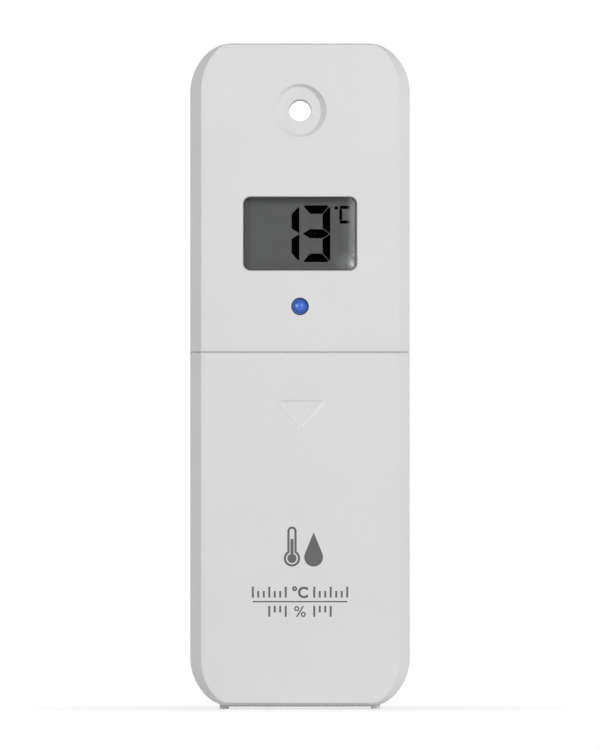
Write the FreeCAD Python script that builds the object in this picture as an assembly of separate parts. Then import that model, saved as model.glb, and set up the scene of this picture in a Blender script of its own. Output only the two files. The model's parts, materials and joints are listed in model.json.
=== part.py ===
"""Wireless temperature and humidity sensor with a small liquid crystal display.

A flat upright plastic case that hangs on a nail through a hole near its top, or stands on two
thin ribs.  The upper front half carries the display and the lamp.  The lower front half is a
cover that slides down over two AA cells.

Units are millimetres.  +Z is up, the display faces -Y and +X is on the right as seen from the
display side.  The origin is under the middle of the case, on the plane that the feet stand on.
"""
import FreeCAD
import Part
import math
import os

# ---- Case walls and outer form ---------------------------------------------------------------
wall = 1.6
shell_depth = 9.0
corner_across = 7.65
corner_up = 9.0
corner_tuck = 0.35
side_bevel = 1.95
top_bevel = 0.30
bottom_bevel = 0.70
bevel_depth = 2.2
edge_round = 0.16
back_round = 2.4
seam_gap = 0.08
seam_bevel_up = 0.2
seam_bevel_down = 0.45
seam_bevel_depth = 0.3
parting_gap = 0.2
lap_thickness = 0.8
lap_height = 1.2

# ---- Room inside the case --------------------------------------------------------------------
side_room = 3.7
front_room = 3.15
shelf_height = 5.1
lamp_rise = 5.2
lamp_to_window = 6.43
window_to_hole = 15.61
hole_to_top = 12.25

# ---- Clearances ------------------------------------------------------------------------------
sliding_clearance = 0.3
seat_clearance = 0.1
cell_clearance = 0.25
cell_gap = 0.6
button_gap = 0.05
screw_clearance = 0.2

# ---- Feet ------------------------------------------------------------------------------------
foot_height = 0.45
foot_width = 1.65
foot_side_inset = 6.2
foot_end_inset = 3.0
foot_root = 0.85

# ---- Hanging hole ----------------------------------------------------------------------------
hole_radius = 2.0
hole_recess_depth = 1.3
hole_recess_radius = 4.85
hole_recess_side_slope = 1.05
hole_recess_end_slope = 0.5
hole_bevel = 0.15
hole_floor = 1.4
hole_tube_wall = 1.4

# ---- Display ---------------------------------------------------------------------------------
window_width = 20.95
window_height = 13.66
window_corner = 1.35
window_draft = 0.15
lens_border = 1.1
lens_flange = 1.0
lens_pane_rise = 0.5
lens_rib = 1.0
glass_border_side = 1.45
glass_border_top = 1.62
glass_thickness = 2.2
film_thickness = 0.2
frame_wall = 1.0
frame_lip = 0.5
zebra_width = 1.5
zebra_inset = 1.0

# ---- Circuit board ---------------------------------------------------------------------------
board_thickness = 1.6
board_space = 2.5
board_side_gap = 1.9
board_end_gap = 0.2
board_boss_gap = 1.8
board_tab_gap = 1.0
board_tab_rise = 1.2
post_radius = 2.2
post_side_gap = 2.2
post_end_gap = 0.4
rest_gap = 1.0
board_screw_radius = 0.95
board_screw_head_radius = 1.9
board_screw_head = 1.2
board_screw_length = 5.0

# ---- Case screws and hooks -------------------------------------------------------------------
case_screw_radius = 1.1
case_screw_head_radius = 2.1
case_screw_head = 1.5
case_screw_length = 8.4
case_screw_seat = 5.9
boss_radius = 3.1
boss_side_gap = 0.7
boss_rise = 0.2
cross_slot_width = 0.6
cross_slot_length = 2.4
cross_slot_depth = 0.7
hook_side_gap = 2.9
hook_width = 5.0
hook_thickness = 1.2
hook_drop = 5.5
hook_grip = 1.0
hook_depth = 4.5

# ---- Lamp ------------------------------------------------------------------------------------
lamp_radius = 1.5
lamp_clearance = 0.1
lamp_length = 5.3
lamp_rim = 0.4
lamp_flange = 0.8
lamp_below_face = 0.1
lamp_lead_spacing = 2.54
lamp_lead = 0.5

# ---- Push buttons under the cover ------------------------------------------------------------
button_spacing = 9.0
button_radius = 1.6
button_travel = 0.35
button_rim = 0.6
button_flange = 0.6
button_proud = 0.6
button_rise = 0.8
switch_size = 4.5
switch_body = 1.5
switch_plunger = 0.25
switch_plunger_width = 1.6
apron_thickness = 1.2
apron_side_gap = 1.0
apron_gap = 0.45

# ---- Cells and their bay ---------------------------------------------------------------------
cell_radius = 7.2
cell_length = 50.5
nub_radius = 2.6
nub_length = 1.0
sleeve_thickness = 0.2
sleeve_end = 0.6
bulkhead_thickness = 1.2
bulkhead_front_gap = 2.6
contact_thickness = 0.4
contact_width = 11.0
contact_play = 0.05
spring_length = 3.8
spring_base_radius = 4.2
spring_tip_radius = 2.4
spring_wire_radius = 0.3
spring_turns = 3
cradle_count = 4
cradle_thickness = 1.5
cradle_rise = 3.6
solder_tab_width = 3.0
solder_tab_length = 2.2

# ---- Guides of the sliding cover -------------------------------------------------------------
guide_thickness = 1.0
guide_lip = 0.7
guide_lip_depth = 0.8
guide_reach = 3.1
guide_end_gap = 2.5
rail_depth = 1.2
tongue_width = 24.0
tongue_thickness = 1.0
tongue_rise = 1.5
tongue_root = 3.5
tongue_room = 0.45

# ---- Thumb mark on the cover -----------------------------------------------------------------
mark_width = 9.0
mark_height = 5.1
mark_drop = 8.65
mark_depth = 0.26
mark_top_slope = 0.42
mark_side_slope = 0.38

# ---- Air slots and humidity sensor -----------------------------------------------------------
slot_count = 5
slot_pitch = 2.6
slot_width = 12.0
slot_height = 1.2
slots_drop = 7.05
sensor_board_width = 12.0
sensor_board_height = 9.0
sensor_board_thickness = 0.8
sensor_board_gap = 2.6
sensor_size = 3.0
sensor_thickness = 1.1
pin_count = 4
pin_pitch = 2.54
pin_size = 0.6

# ---- Parts soldered to the back of the board: across, and up from the middle of the display --
chip_size = 10.0
chip_thickness = 1.6
chip_place = (6.5, -2.8)
chip_leads = 8
chip_lead_pitch = 1.0
radio_width = 13.0
radio_height = 11.0
radio_thickness = 2.4
radio_place = (-7.5, -6.4)
crystal_width = 6.0
crystal_height = 2.6
crystal_thickness = 1.8
crystal_place = (-8.3, 2.65)
capacitor_width = 2.0
capacitor_height = 1.2
capacitor_thickness = 1.1
capacitor_places = ((10.0, -12.0), (6.5, -12.0), (6.5, 5.0), (-2.0, 2.5))
antenna_radius = 1.7
antenna_length = 12.0
antenna_across = -3.0
antenna_drop = 3.05
antenna_turns = 5
antenna_wire_radius = 0.35

# ---- Places from back to front ---------------------------------------------------------------
body_depth = 2 * wall + cell_clearance + 2 * cell_radius + front_room
front = -body_depth / 2
back = body_depth / 2
parting = front + shell_depth
inner_front = front + wall
inner_back = back - wall
cell_y = inner_back - cell_clearance - cell_radius
bay_front = inner_front + bulkhead_front_gap
recess_floor = front + hole_recess_depth
recess_floor_back = recess_floor + hole_floor
lens_back = inner_front + lens_flange
frame_front = lens_back + seat_clearance
glass_front = frame_front + frame_lip
glass_back = glass_front + glass_thickness
board_front = glass_back + film_thickness + board_space
board_back = board_front + board_thickness
plunger_face = board_front - switch_body - switch_plunger
button_back = plunger_face - button_travel - button_gap
flange_front = button_back - button_flange
apron_back = flange_front - button_gap
apron_front = apron_back - apron_thickness
button_front = apron_front - button_proud
screw_seat = parting + case_screw_seat
sensor_board_front = inner_back - sensor_board_gap - sensor_board_thickness

# ---- Places from the middle to the side ------------------------------------------------------
cell_spacing = 2 * cell_radius + cell_gap
body_width = cell_spacing + 2 * (cell_radius + side_room + wall)
inner_side = body_width / 2 - wall
case_screw_across = inner_side - boss_radius - boss_side_gap
board_screw_across = inner_side - post_radius - post_side_gap
hook_across = inner_side - hook_width / 2 - hook_side_gap
foot_across = body_width / 2 - foot_side_inset
board_width = 2 * (inner_side - board_side_gap)
board_tab_width = 2 * (case_screw_across - boss_radius - board_tab_gap)
apron_width = 2 * (inner_side - apron_side_gap)
glass_width = window_width + 2 * glass_border_side
zebra_length = glass_width - 2 * zebra_inset

# ---- Places from the feet to the top ---------------------------------------------------------
body_low = foot_height
bay_low = body_low + wall + sliding_clearance + bulkhead_thickness
plate_top = bay_low + contact_thickness
right_low = plate_top + contact_play
right_high = right_low + cell_length
left_low = plate_top + spring_length
left_high = left_low + cell_length
top_plate_low = left_high + contact_play
bay_high = top_plate_low + contact_thickness + contact_play
shelf_low = bay_high + bulkhead_thickness
seam = shelf_low + shelf_height
apron_bottom = shelf_low + apron_gap
apron_top = seam + tongue_rise + tongue_room + apron_thickness
button_height = apron_bottom + button_radius + button_rim + button_rise
case_screw_height = apron_bottom + boss_radius + boss_rise
board_bottom = apron_bottom + board_tab_rise
board_shoulder = case_screw_height + boss_radius + board_boss_gap
board_rest_height = board_shoulder + post_radius + rest_gap
lamp_height = apron_top + lamp_rise
display_height = lamp_height + lamp_to_window + window_height / 2
glass_height = window_height + 2 * glass_border_top
frame_top = display_height + glass_height / 2 + seat_clearance + frame_wall
board_screw_height = frame_top + post_radius + post_end_gap
hole_height = display_height + window_height / 2 + window_to_hole
board_top = hole_height - hole_recess_radius - wall - board_end_gap
slots_middle = board_top - slots_drop
body_high = hole_height + hole_to_top
mark_top = seam - mark_drop
guide_low = body_low + corner_up + guide_end_gap
guide_high = bay_high - guide_end_gap / 2
far = 2 * body_high


# ---- Small helpers ---------------------------------------------------------------------------
def point(x, y, z):
    """A point or direction."""
    return FreeCAD.Vector(x, y, z)


def block(x0, x1, y0, y1, z0, z1):
    """A box between two corners."""
    return Part.makeBox(x1 - x0, y1 - y0, z1 - z0, point(x0, y0, z0))


def centred_block(x, width, y0, y1, z, height):
    """A box centred on x and z, between two depths."""
    return block(x - width / 2, x + width / 2, y0, y1, z - height / 2, z + height / 2)


def rod(x, z, radius, y0, y1):
    """A round bar along Y."""
    return Part.makeCylinder(radius, y1 - y0, point(x, y0, z), point(0, 1, 0))


def upright(x, y, radius, z0, z1):
    """A round bar along Z."""
    return Part.makeCylinder(radius, z1 - z0, point(x, y, z0), point(0, 0, 1))


def cone(x, z, radius0, radius1, y0, y1):
    """A tapered bar along Y."""
    return Part.makeCone(radius0, radius1, y1 - y0, point(x, y0, z), point(0, 1, 0))


def coil(radii, ends, wire_radius, turns, steps, sides):
    """A wire wound round the Z axis, from one radius and height to another."""
    sections = []
    for step in range(turns * steps + 1):
        share = step / (turns * steps)
        angle = 2 * math.pi * turns * share
        outward = point(math.cos(angle), math.sin(angle), 0)
        middle = outward * (radii[0] + share * (radii[1] - radii[0]))
        middle += point(0, 0, ends[0] + share * (ends[1] - ends[0]))
        corners = []
        for side in range(sides):
            turn = 2 * math.pi * side / sides
            rise = point(0, 0, wire_radius * math.sin(turn))
            corners.append(middle + outward * (wire_radius * math.cos(turn)) + rise)
        sections.append(Part.makePolygon(corners + corners[:1]))
    return Part.makeLoft(sections, True, True)


def both_sides(shape):
    """The shape and its mirror image on the other side of the case."""
    return [shape, shape.mirror(point(0, 0, 0), point(1, 0, 0))]


def joined(shapes):
    """One solid from touching or crossing shapes."""
    result = shapes[0].fuse(shapes[1:])
    return result.removeSplitter()


def cut(shape, tools):
    """The shape with every tool taken out of it."""
    return shape.cut(tools).removeSplitter()


def save(name, shape):
    """Write one node as a STEP file."""
    shape.exportStep("parts/" + name + ".step")


# ---- Case outline ----------------------------------------------------------------------------
def end_radius(along, across):
    """Radius of the arc at one end of an oval corner, of two arcs that meet halfway through the turn."""
    slant = math.sqrt(2)
    return (along - across * (slant - 1)) / (2 - slant)


def oval_corner(start, control, end):
    """Two arcs that meet smoothly and round the corner at control like a quarter ellipse."""
    ahead = control - start
    aside = end - control
    first = end_radius(ahead.Length, aside.Length)
    second = end_radius(aside.Length, ahead.Length)
    ahead.normalize()
    aside.normalize()
    arcs = []
    for centre, radius, turns in (
        (start + aside * first, first, (0, 22.5, 45)),
        (end - ahead * second, second, (45, 67.5, 90)),
    ):
        places = []
        for turn in turns:
            angle = math.radians(turn)
            places.append(centre + ahead * (radius * math.sin(angle)) - aside * (radius * math.cos(angle)))
        arcs.append(Part.Arc(*places).toShape())
    return arcs


def outline(y, side, top, bottom, tuck=0):
    """The case outline at depth y, pulled in at the sides, the top and the bottom, its corners by tuck."""
    half = body_width / 2 - side
    high = body_high - top
    low = body_low + bottom
    across = corner_across - side - tuck
    rise_high = corner_up - top - tuck
    rise_low = corner_up - bottom - tuck
    edges = []
    corners = (
        (point(half - across, y, low), point(half, y, low), point(half, y, low + rise_low)),
        (point(half, y, high - rise_high), point(half, y, high), point(half - across, y, high)),
        (point(across - half, y, high), point(-half, y, high), point(-half, y, high - rise_high)),
        (point(-half, y, low + rise_low), point(-half, y, low), point(across - half, y, low)),
    )
    previous = corners[-1][2]
    for start, control, end in corners:
        edges.append(Part.makeLine(previous, start))
        edges += oval_corner(start, control, end)
        previous = end
    return Part.Wire(edges)


def stack(sections):
    """A solid through a row of outlines, each given as depth, side, top and bottom inset and tuck."""
    pieces = []
    for near, next_one in zip(sections, sections[1:]):
        if near[1:] == next_one[1:]:
            pieces.append(Part.Face(outline(*near)).extrude(point(0, next_one[0] - near[0], 0)))
        else:
            pieces.append(Part.makeLoft([outline(*near), outline(*next_one)], True, True))
    return joined(pieces) if len(pieces) > 1 else pieces[0]


def slab(y0, y1, inset):
    """A straight slab of the case outline, pulled in evenly by inset."""
    return stack([(y0, inset, inset, inset), (y1, inset, inset, inset)])


def front_form():
    """Outside of both front shells: flat face, wide bevels that narrow at the corners, straight sides."""
    bevel = (side_bevel, top_bevel, bottom_bevel)
    face = [width + edge_round for width in bevel]
    shoulder = [width * edge_round / bevel_depth for width in bevel]
    tuck = corner_tuck * side_bevel
    sections = [
        (front, *face, tuck),
        (front + edge_round / 2, *bevel, tuck),
        (front + bevel_depth, *shoulder),
        (front + bevel_depth + edge_round * 2, 0, 0, 0),
        (parting - parting_gap, 0, 0, 0),
    ]
    return stack(sections)


def inner_inset(bevel):
    """How far the inner face edge lies inside the outer one for an even wall."""
    return bevel + wall * math.tan(math.atan2(bevel_depth, bevel) / 2)


def front_hollow():
    """Inside of the front shells, an even wall inside their outer form."""
    shoulder = wall * math.tan(math.atan2(side_bevel, bevel_depth) / 2)
    sections = [
        (inner_front, inner_inset(side_bevel), inner_inset(top_bevel), inner_inset(bottom_bevel)),
        (front + bevel_depth + shoulder, wall, wall, wall),
        (parting, wall, wall, wall),
    ]
    return stack(sections)


def above(z):
    """All space above a height."""
    return block(-far, far, -far, far, z, far)


def below(z):
    """All space below a height."""
    return block(-far, far, -far, far, -far, z)


def back_sections(inset, end, radius, steps):
    """Sections of the rear case: straight sides and a quarter round into the back."""
    sections = [(parting, inset, inset, inset)]
    for step in range(steps + 1):
        angle = step * math.pi / 2 / steps
        pull = inset + radius * (1 - math.cos(angle))
        sections.append((end - radius * (1 - math.sin(angle)), pull, pull, pull))
    return sections


# ---- Case shells -----------------------------------------------------------------------------
def window_hole():
    """The display opening, slightly narrower at its inner end."""
    rims = []
    for y, inset in ((front - wall, -window_draft), (inner_front + wall, window_draft * 2)):
        width = window_width / 2 - inset
        height = window_height / 2 - inset
        rims.append(rounded_rectangle(y, width, display_height, height, window_corner))
    return Part.makeLoft(rims, True, True)


def rounded_rectangle(y, half_width, middle, half_height, radius):
    """A rectangle with round corners, upright in the plane at depth y."""
    edges = []
    diagonal = radius * (1 - math.sqrt(0.5))
    for quarter in range(4):
        turn = FreeCAD.Rotation(point(0, 1, 0), -90 * quarter)
        across, rise = (half_width, half_height) if quarter % 2 == 0 else (half_height, half_width)
        places = (
            (across, radius - rise), (across, rise - radius),
            (across - diagonal, rise - diagonal), (across - radius, rise),
        )
        low, high, middle_of_arc, end = [
            turn.multVec(point(x, 0, z)) + point(0, y, middle) for x, z in places
        ]
        edges.append(Part.makeLine(low, high))
        edges.append(Part.Arc(high, middle_of_arc, end).toShape())
    return Part.Wire(edges)


def rounded_slab(half_width, half_height, radius, y0, y1):
    """A plate with round corners around the middle of the display."""
    face = Part.Face(rounded_rectangle(y0, half_width, display_height, half_height, radius))
    return face.extrude(point(0, y1 - y0, 0))


def lens_pocket_rib():
    """A low rectangular rib that locates the lens behind the display opening."""
    half_width = window_width / 2 + lens_border + seat_clearance
    half_height = window_height / 2 + lens_border + seat_clearance
    outer = display_plate(2 * (half_width + lens_rib), 2 * (half_height + lens_rib), inner_front, lens_back)
    return outer.cut(display_plate(2 * half_width, 2 * half_height, inner_front, lens_back))


def front_posts():
    """Posts of the front case that the board and the case screws are driven into."""
    posts = []
    holes = []
    posts += both_sides(rod(board_screw_across, board_screw_height, post_radius, inner_front, board_front))
    posts += both_sides(centred_block(board_screw_across, post_radius, inner_front, board_front,
                                      board_rest_height, 2 * post_radius))
    bottom = board_front - board_screw_length + board_thickness
    holes += both_sides(rod(board_screw_across, board_screw_height, board_screw_radius, bottom, board_front))
    x, z = case_screw_across, case_screw_height
    posts += both_sides(rod(x, z, boss_radius, apron_back, parting))
    holes += both_sides(rod(x, z, case_screw_radius, screw_seat - case_screw_length, parting))
    return posts, holes


def hook_arm(z_top):
    """Right-hand hook of the front case that grips a ledge of the rear case, under the top wall."""
    z_low = z_top - hook_thickness
    arm = centred_block(hook_across, hook_width, inner_front, parting + hook_depth,
                        z_top - hook_thickness / 2, hook_thickness)
    tip = block(hook_across - hook_width / 2, hook_across + hook_width / 2,
                parting + hook_depth - hook_grip, parting + hook_depth, z_low, z_top + hook_grip)
    return joined([arm, tip])


def hook_level():
    """Height of the upper face of the hook arms."""
    return body_high - wall - hook_drop


def hook_ledge():
    """Right-hand ledge under the top wall of the rear case, in front of the hook tip."""
    low = hook_level() + seat_clearance
    rear = parting + hook_depth - hook_grip - seat_clearance
    half = hook_width / 2
    rib = block(hook_across - half, hook_across + half, rear - hook_thickness, rear, low, body_high)
    return rib.common(slab(parting, back, wall / 2))


def front_lap():
    """Room in the front case wall for the raised lip of the rear case."""
    depth = parting - parting_gap - lap_height
    inset = wall - lap_thickness
    return slab(depth, parting, inset)


def seam_outline(z, pull):
    """Level outline of the front shells near the seam, pulled in evenly."""
    half = body_width / 2
    face_turn = math.tan(math.atan2(bevel_depth, side_bevel) / 2)
    side_turn = math.tan(math.atan2(side_bevel, bevel_depth) / 2)
    right = [
        (half - side_bevel - pull * face_turn, front + pull),
        (half - pull, front + bevel_depth + pull * side_turn),
        (half - pull, parting),
    ]
    left = [(-x, y) for x, y in reversed(right)]
    corners = [point(x, y, z) for x, y in right + left]
    return Part.makePolygon(corners + corners[:1])


def seam_bevel(edge, rise):
    """What a bevel takes off the outer edge of a front shell at the seam; rise points into the shell."""
    rims = []
    for share in (-0.5, 1.5):
        rims.append(seam_outline(edge + rise * share, seam_bevel_depth * (1 - share)))
    half = body_width
    low, high = sorted((edge - rise / 2, edge + rise * 1.5))
    return block(-half, half, front - wall, parting, low, high).cut(Part.makeLoft(rims, True, True))


def rear_lip():
    """Lip of the rear case that enters the front case wall."""
    inset = wall - lap_thickness + seat_clearance / 2
    depth = parting - parting_gap - lap_height + seat_clearance
    outer = slab(depth, parting + wall, inset)
    inner = slab(depth, parting + wall, wall)
    return outer.cut(inner).common(above(seam + seam_gap))


def hanging_recess():
    """Round recess at the hanging hole, with side walls that slope more than its ends."""
    rims = []
    for y, side, end in ((front, 0, 0), (recess_floor, hole_recess_side_slope, hole_recess_end_slope)):
        middle = point(0, y, hole_height)
        end_point = middle + point(0, 0, hole_recess_radius - end)
        side_point = middle + point(hole_recess_radius - side, 0, 0)
        if side == end:
            curve = Part.Circle(middle, point(0, -1, 0), hole_recess_radius)
        else:
            curve = Part.Ellipse(end_point, side_point, middle)
        rims.append(Part.Wire(curve.toShape()))
    return Part.makeLoft(rims, True, True)


def make_front_case():
    """Upper front shell with the display opening, the hanging recess and the button apron."""
    edge = seam + seam_gap / 2
    shell = front_form().cut([front_hollow(), below(edge), seam_bevel(edge, seam_bevel_up)])
    shell = shell.cut(front_lap())
    cup_radius = hole_recess_radius + wall
    cup = cone(0, hole_height, cup_radius, cup_radius - hole_recess_end_slope,
               inner_front - wall / 2, recess_floor_back)
    web = block(-apron_width / 2, apron_width / 2, inner_front - seat_clearance, apron_back,
                apron_top - apron_thickness, apron_top)
    apron = block(-apron_width / 2, apron_width / 2, apron_front, apron_back, apron_bottom, apron_top)
    posts, holes = front_posts()
    hooks = both_sides(hook_arm(hook_level()))
    solid = joined([shell, cup, web, apron, lens_pocket_rib()] + posts + hooks)
    tools = holes + [window_hole(), hanging_recess()]
    tools.append(rod(0, hole_height, hole_radius, front, parting))
    tools.append(cone(0, hole_height, hole_radius + hole_bevel, hole_radius,
                      recess_floor, recess_floor + hole_bevel))
    tools.append(rod(0, lamp_height, lamp_radius + lamp_clearance, front, inner_front))
    for x in (-button_spacing / 2, button_spacing / 2):
        tools.append(rod(x, button_height, button_radius + button_gap, apron_front, apron_back))
    return cut(solid, tools)


def thumb_mark():
    """Shallow triangle that points the way the cover slides, with sloping walls."""
    lean = math.atan2(mark_width / 2, mark_height)
    rims = []
    for y, top, side in ((front, 0, 0), (front + mark_depth, mark_top_slope, mark_side_slope)):
        half = mark_width / 2 - top * math.tan(lean) - side / math.cos(lean)
        tip = mark_top - mark_height + side / math.sin(lean)
        corners = [point(-half, y, mark_top - top), point(half, y, mark_top - top), point(0, y, tip)]
        rims.append(Part.makePolygon(corners + corners[:1]))
    return Part.makeLoft(rims, True, True)


def cover_rail():
    """Inward rail on the right side wall of the cover."""
    outer = body_width / 2 - wall + seat_clearance
    inner = inner_side - guide_lip
    rear = parting - parting_gap
    return block(inner, outer, rear - rail_depth, rear, guide_low, guide_high)


def cover_tongue():
    """Flat tongue that tucks behind the lower edge of the front case."""
    tongue_front = inner_front + sliding_clearance
    tongue_back = tongue_front + tongue_thickness
    top = seam - seam_gap / 2
    half = tongue_width / 2
    blade = block(-half, half, tongue_front, tongue_back, top - tongue_root, top + tongue_rise)
    root = block(-half, half, inner_front - seat_clearance, tongue_back,
                 top - tongue_root, top - seat_clearance)
    return joined([blade, root])


def feet(y0, y1):
    """Two thin ribs under the case, between two depths."""
    high = body_low + foot_root
    rib = centred_block(foot_across, foot_width, y0, y1, high / 2, high)
    return both_sides(rib)


def make_battery_cover():
    """Lower front shell that slides down off the cells."""
    edge = seam - seam_gap / 2
    shell = front_form().cut([front_hollow(), above(edge), seam_bevel(edge, -seam_bevel_down)])
    rear = parting - parting_gap
    ribs = feet(front + foot_end_inset, rear)
    solid = joined([shell, cover_tongue()] + both_sides(cover_rail()) + ribs)
    return cut(solid, [thumb_mark()])


def cell_bay():
    """Bulkheads, cradle ribs and side guides of the cell compartment."""
    half = inner_side
    shapes = []
    for z0 in (bay_low - bulkhead_thickness, bay_high):
        shapes.append(block(-half, half, bay_front, inner_back + seat_clearance, z0, z0 + bulkhead_thickness))
    limit = slab(bay_front, inner_back + seat_clearance, wall + sliding_clearance)
    shapes = [shape.common(limit) for shape in shapes]
    room = bay_high - bay_low
    for index in range(cradle_count):
        z = bay_low + room * (index + 0.5) / cradle_count
        shapes.append(centred_block(0, 2 * half, inner_back - cradle_rise, inner_back + seat_clearance,
                                    z, cradle_thickness))
    return shapes


def cover_guide():
    """Upright guide with an outward lip that the rail of the cover slides behind."""
    outer = inner_side - guide_lip - sliding_clearance
    inner = outer - guide_thickness
    front_end = parting - guide_reach
    lip_outer = inner_side - sliding_clearance
    wall_part = block(inner, outer, front_end, parting + wall, guide_low, bay_high)
    lip = block(outer, lip_outer, front_end, front_end + guide_lip_depth, guide_low, guide_high)
    foot = block(inner, inner_side + seat_clearance, parting, parting + wall, guide_low, bay_high)
    return joined([wall_part, lip, foot])


def cell_places():
    """X of the left and the right cell."""
    return (-cell_spacing / 2, cell_spacing / 2)


def rear_posts():
    """Bosses of the rear case with a seat for each screw head."""
    x, z = case_screw_across, case_screw_height
    bosses = both_sides(rod(x, z, boss_radius, parting, inner_back + seat_clearance))
    holes = both_sides(rod(x, z, case_screw_radius + screw_clearance, parting, screw_seat))
    holes += both_sides(rod(x, z, case_screw_head_radius + screw_clearance, screw_seat, back))
    return bosses, holes


def air_slots():
    """A row of level slots through the back wall."""
    slots = []
    for index in range(slot_count):
        z = slots_middle + (index - (slot_count - 1) / 2) * slot_pitch
        slots.append(centred_block(0, slot_width, inner_back - wall, back, z, slot_height))
    return slots


def make_rear_case():
    """Rear tub with the cell bay, the cover guides, the screw bosses and the hanging tube."""
    shell = stack(back_sections(0, back, back_round, 3))
    hollow = stack(back_sections(wall, inner_back, back_round - wall / 2, 1))
    shell = shell.cut(hollow)
    bosses, holes = rear_posts()
    tube = rod(0, hole_height, hole_radius + hole_tube_wall,
               recess_floor_back + seat_clearance, inner_back + seat_clearance)
    ribs = feet(parting, back - back_round - foot_end_inset / 2)
    parts = [shell, rear_lip(), tube] + bosses + cell_bay() + both_sides(cover_guide()) + ribs
    parts += both_sides(hook_ledge())
    solid = joined(parts)
    tools = holes + air_slots()
    tools.append(rod(0, hole_height, hole_radius, parting - shell_depth, back))
    for x in cell_places():
        tools.append(upright(x, cell_y, cell_radius + cell_clearance, bay_low, bay_high))
    tools += solder_tab_slots()
    return cut(solid, tools)


# ---- Display stack ---------------------------------------------------------------------------
def make_display_window():
    """Clear lens: a flange behind the front wall and a pane that rises into the opening."""
    flange = display_plate(window_width + 2 * lens_border, window_height + 2 * lens_border,
                           inner_front, lens_back)
    gap = window_draft * 2 + seat_clearance
    pane = rounded_slab(window_width / 2 - gap, window_height / 2 - gap, window_corner - gap,
                        inner_front - lens_pane_rise, inner_front)
    return joined([flange, pane])


def display_plate(width, height, y0, y1):
    """A flat plate centred on the display."""
    return centred_block(0, width, y0, y1, display_height, height)


def lip_opening():
    """Size of the opening in the front lip of the display frame."""
    return (glass_width - 2 * frame_wall, glass_height - 2 * frame_wall)


def make_display_polariser():
    """Front film, inside the opening of the frame lip."""
    width, height = lip_opening()
    play = 2 * seat_clearance
    return display_plate(width - play, height - play, glass_front - film_thickness, glass_front)


def make_display_glass():
    """Cell of two glass sheets; the front one is shorter, which bares the contact ledge."""
    ledge = zebra_width
    rear = display_plate(glass_width, glass_height, glass_front + glass_thickness / 2, glass_back)
    lead = display_plate(glass_width, glass_height - ledge, glass_front, glass_front + glass_thickness / 2)
    return joined([rear, lead])


def make_display_reflector():
    """Rear film between the two contact strips."""
    height = glass_height - 2 * zebra_width - 4 * seat_clearance
    return display_plate(zebra_length, height, glass_back, glass_back + film_thickness)


def make_display_frame():
    """Frame that holds the display glass down on the board."""
    width, height = lip_opening()
    pocket = 2 * seat_clearance
    outer = display_plate(glass_width + pocket + 2 * frame_wall, glass_height + pocket + 2 * frame_wall,
                          frame_front, board_front)
    inner = display_plate(glass_width + pocket, glass_height + pocket, glass_front, board_front)
    opening = display_plate(width, height, frame_front, glass_front)
    return cut(outer, [inner, opening])


def make_zebra_strips():
    """Two rubber contact strips between the glass and the board."""
    reach = glass_height / 2 - zebra_width / 2
    strips = []
    for z in (display_height - reach, display_height + reach):
        strips.append(centred_block(0, zebra_length, glass_back, board_front, z, zebra_width))
    return Part.makeCompound(strips)


# ---- Board and what is soldered to it --------------------------------------------------------
def make_circuit_board():
    """Main board with a narrow lower tab that carries the two switches."""
    wide = board_width / 2
    narrow = board_tab_width / 2
    corners = [
        (-narrow, board_bottom), (narrow, board_bottom), (narrow, board_shoulder), (wide, board_shoulder),
        (wide, board_top), (-wide, board_top), (-wide, board_shoulder), (-narrow, board_shoulder),
    ]
    points = [point(x, board_front, z) for x, z in corners]
    plate = Part.Face(Part.makePolygon(points + points[:1])).extrude(point(0, board_thickness, 0))
    tools = both_sides(rod(board_screw_across, board_screw_height, board_screw_radius + screw_clearance,
                           board_front, board_back))
    tools += both_sides(centred_block(lamp_lead_spacing / 2, 2 * lamp_lead, board_front, board_back,
                                      lamp_height, 2 * lamp_lead))
    return cut(plate, tools)


def on_board(place, width, height, thickness):
    """A flat part on the back of the board."""
    z = display_height + place[1]
    return centred_block(place[0], width, board_back, board_back + thickness, z, height)


def make_controller_chip():
    """Square chip with a row of leads on its left and right side."""
    body = on_board(chip_place, chip_size, chip_size, chip_thickness)
    leads = []
    for index in range(chip_leads):
        up = chip_place[1] + (index - (chip_leads - 1) / 2) * chip_lead_pitch
        leads.append(on_board((chip_place[0], up), chip_size + 2 * chip_lead_pitch,
                              chip_lead_pitch / 2, chip_thickness / 4))
    return joined([body] + leads)


def make_radio_module():
    """Radio daughter board under a pressed shield can."""
    carrier = on_board(radio_place, radio_width, radio_height, board_thickness / 2)
    can = on_board(radio_place, radio_width - board_thickness, radio_height - board_thickness,
                   radio_thickness)
    return joined([carrier, can])


def make_timing_crystal():
    """Low metal can of the crystal."""
    return on_board(crystal_place, crystal_width, crystal_height, crystal_thickness)


def make_capacitors():
    """Small block capacitors."""
    return Part.makeCompound([
        on_board(place, capacitor_width, capacitor_height, capacitor_thickness) for place in capacitor_places
    ])


def make_antenna_coil():
    """Helical aerial wound from stiff wire, lying across the top of the board."""
    half = antenna_length / 2
    body = coil((antenna_radius, antenna_radius), (-half, half), antenna_wire_radius, antenna_turns, 6, 4)
    body.rotate(point(0, 0, 0), point(0, 1, 0), 90)
    body.translate(point(antenna_across, board_back + antenna_radius + antenna_wire_radius,
                         board_top - antenna_drop))
    return body


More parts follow.
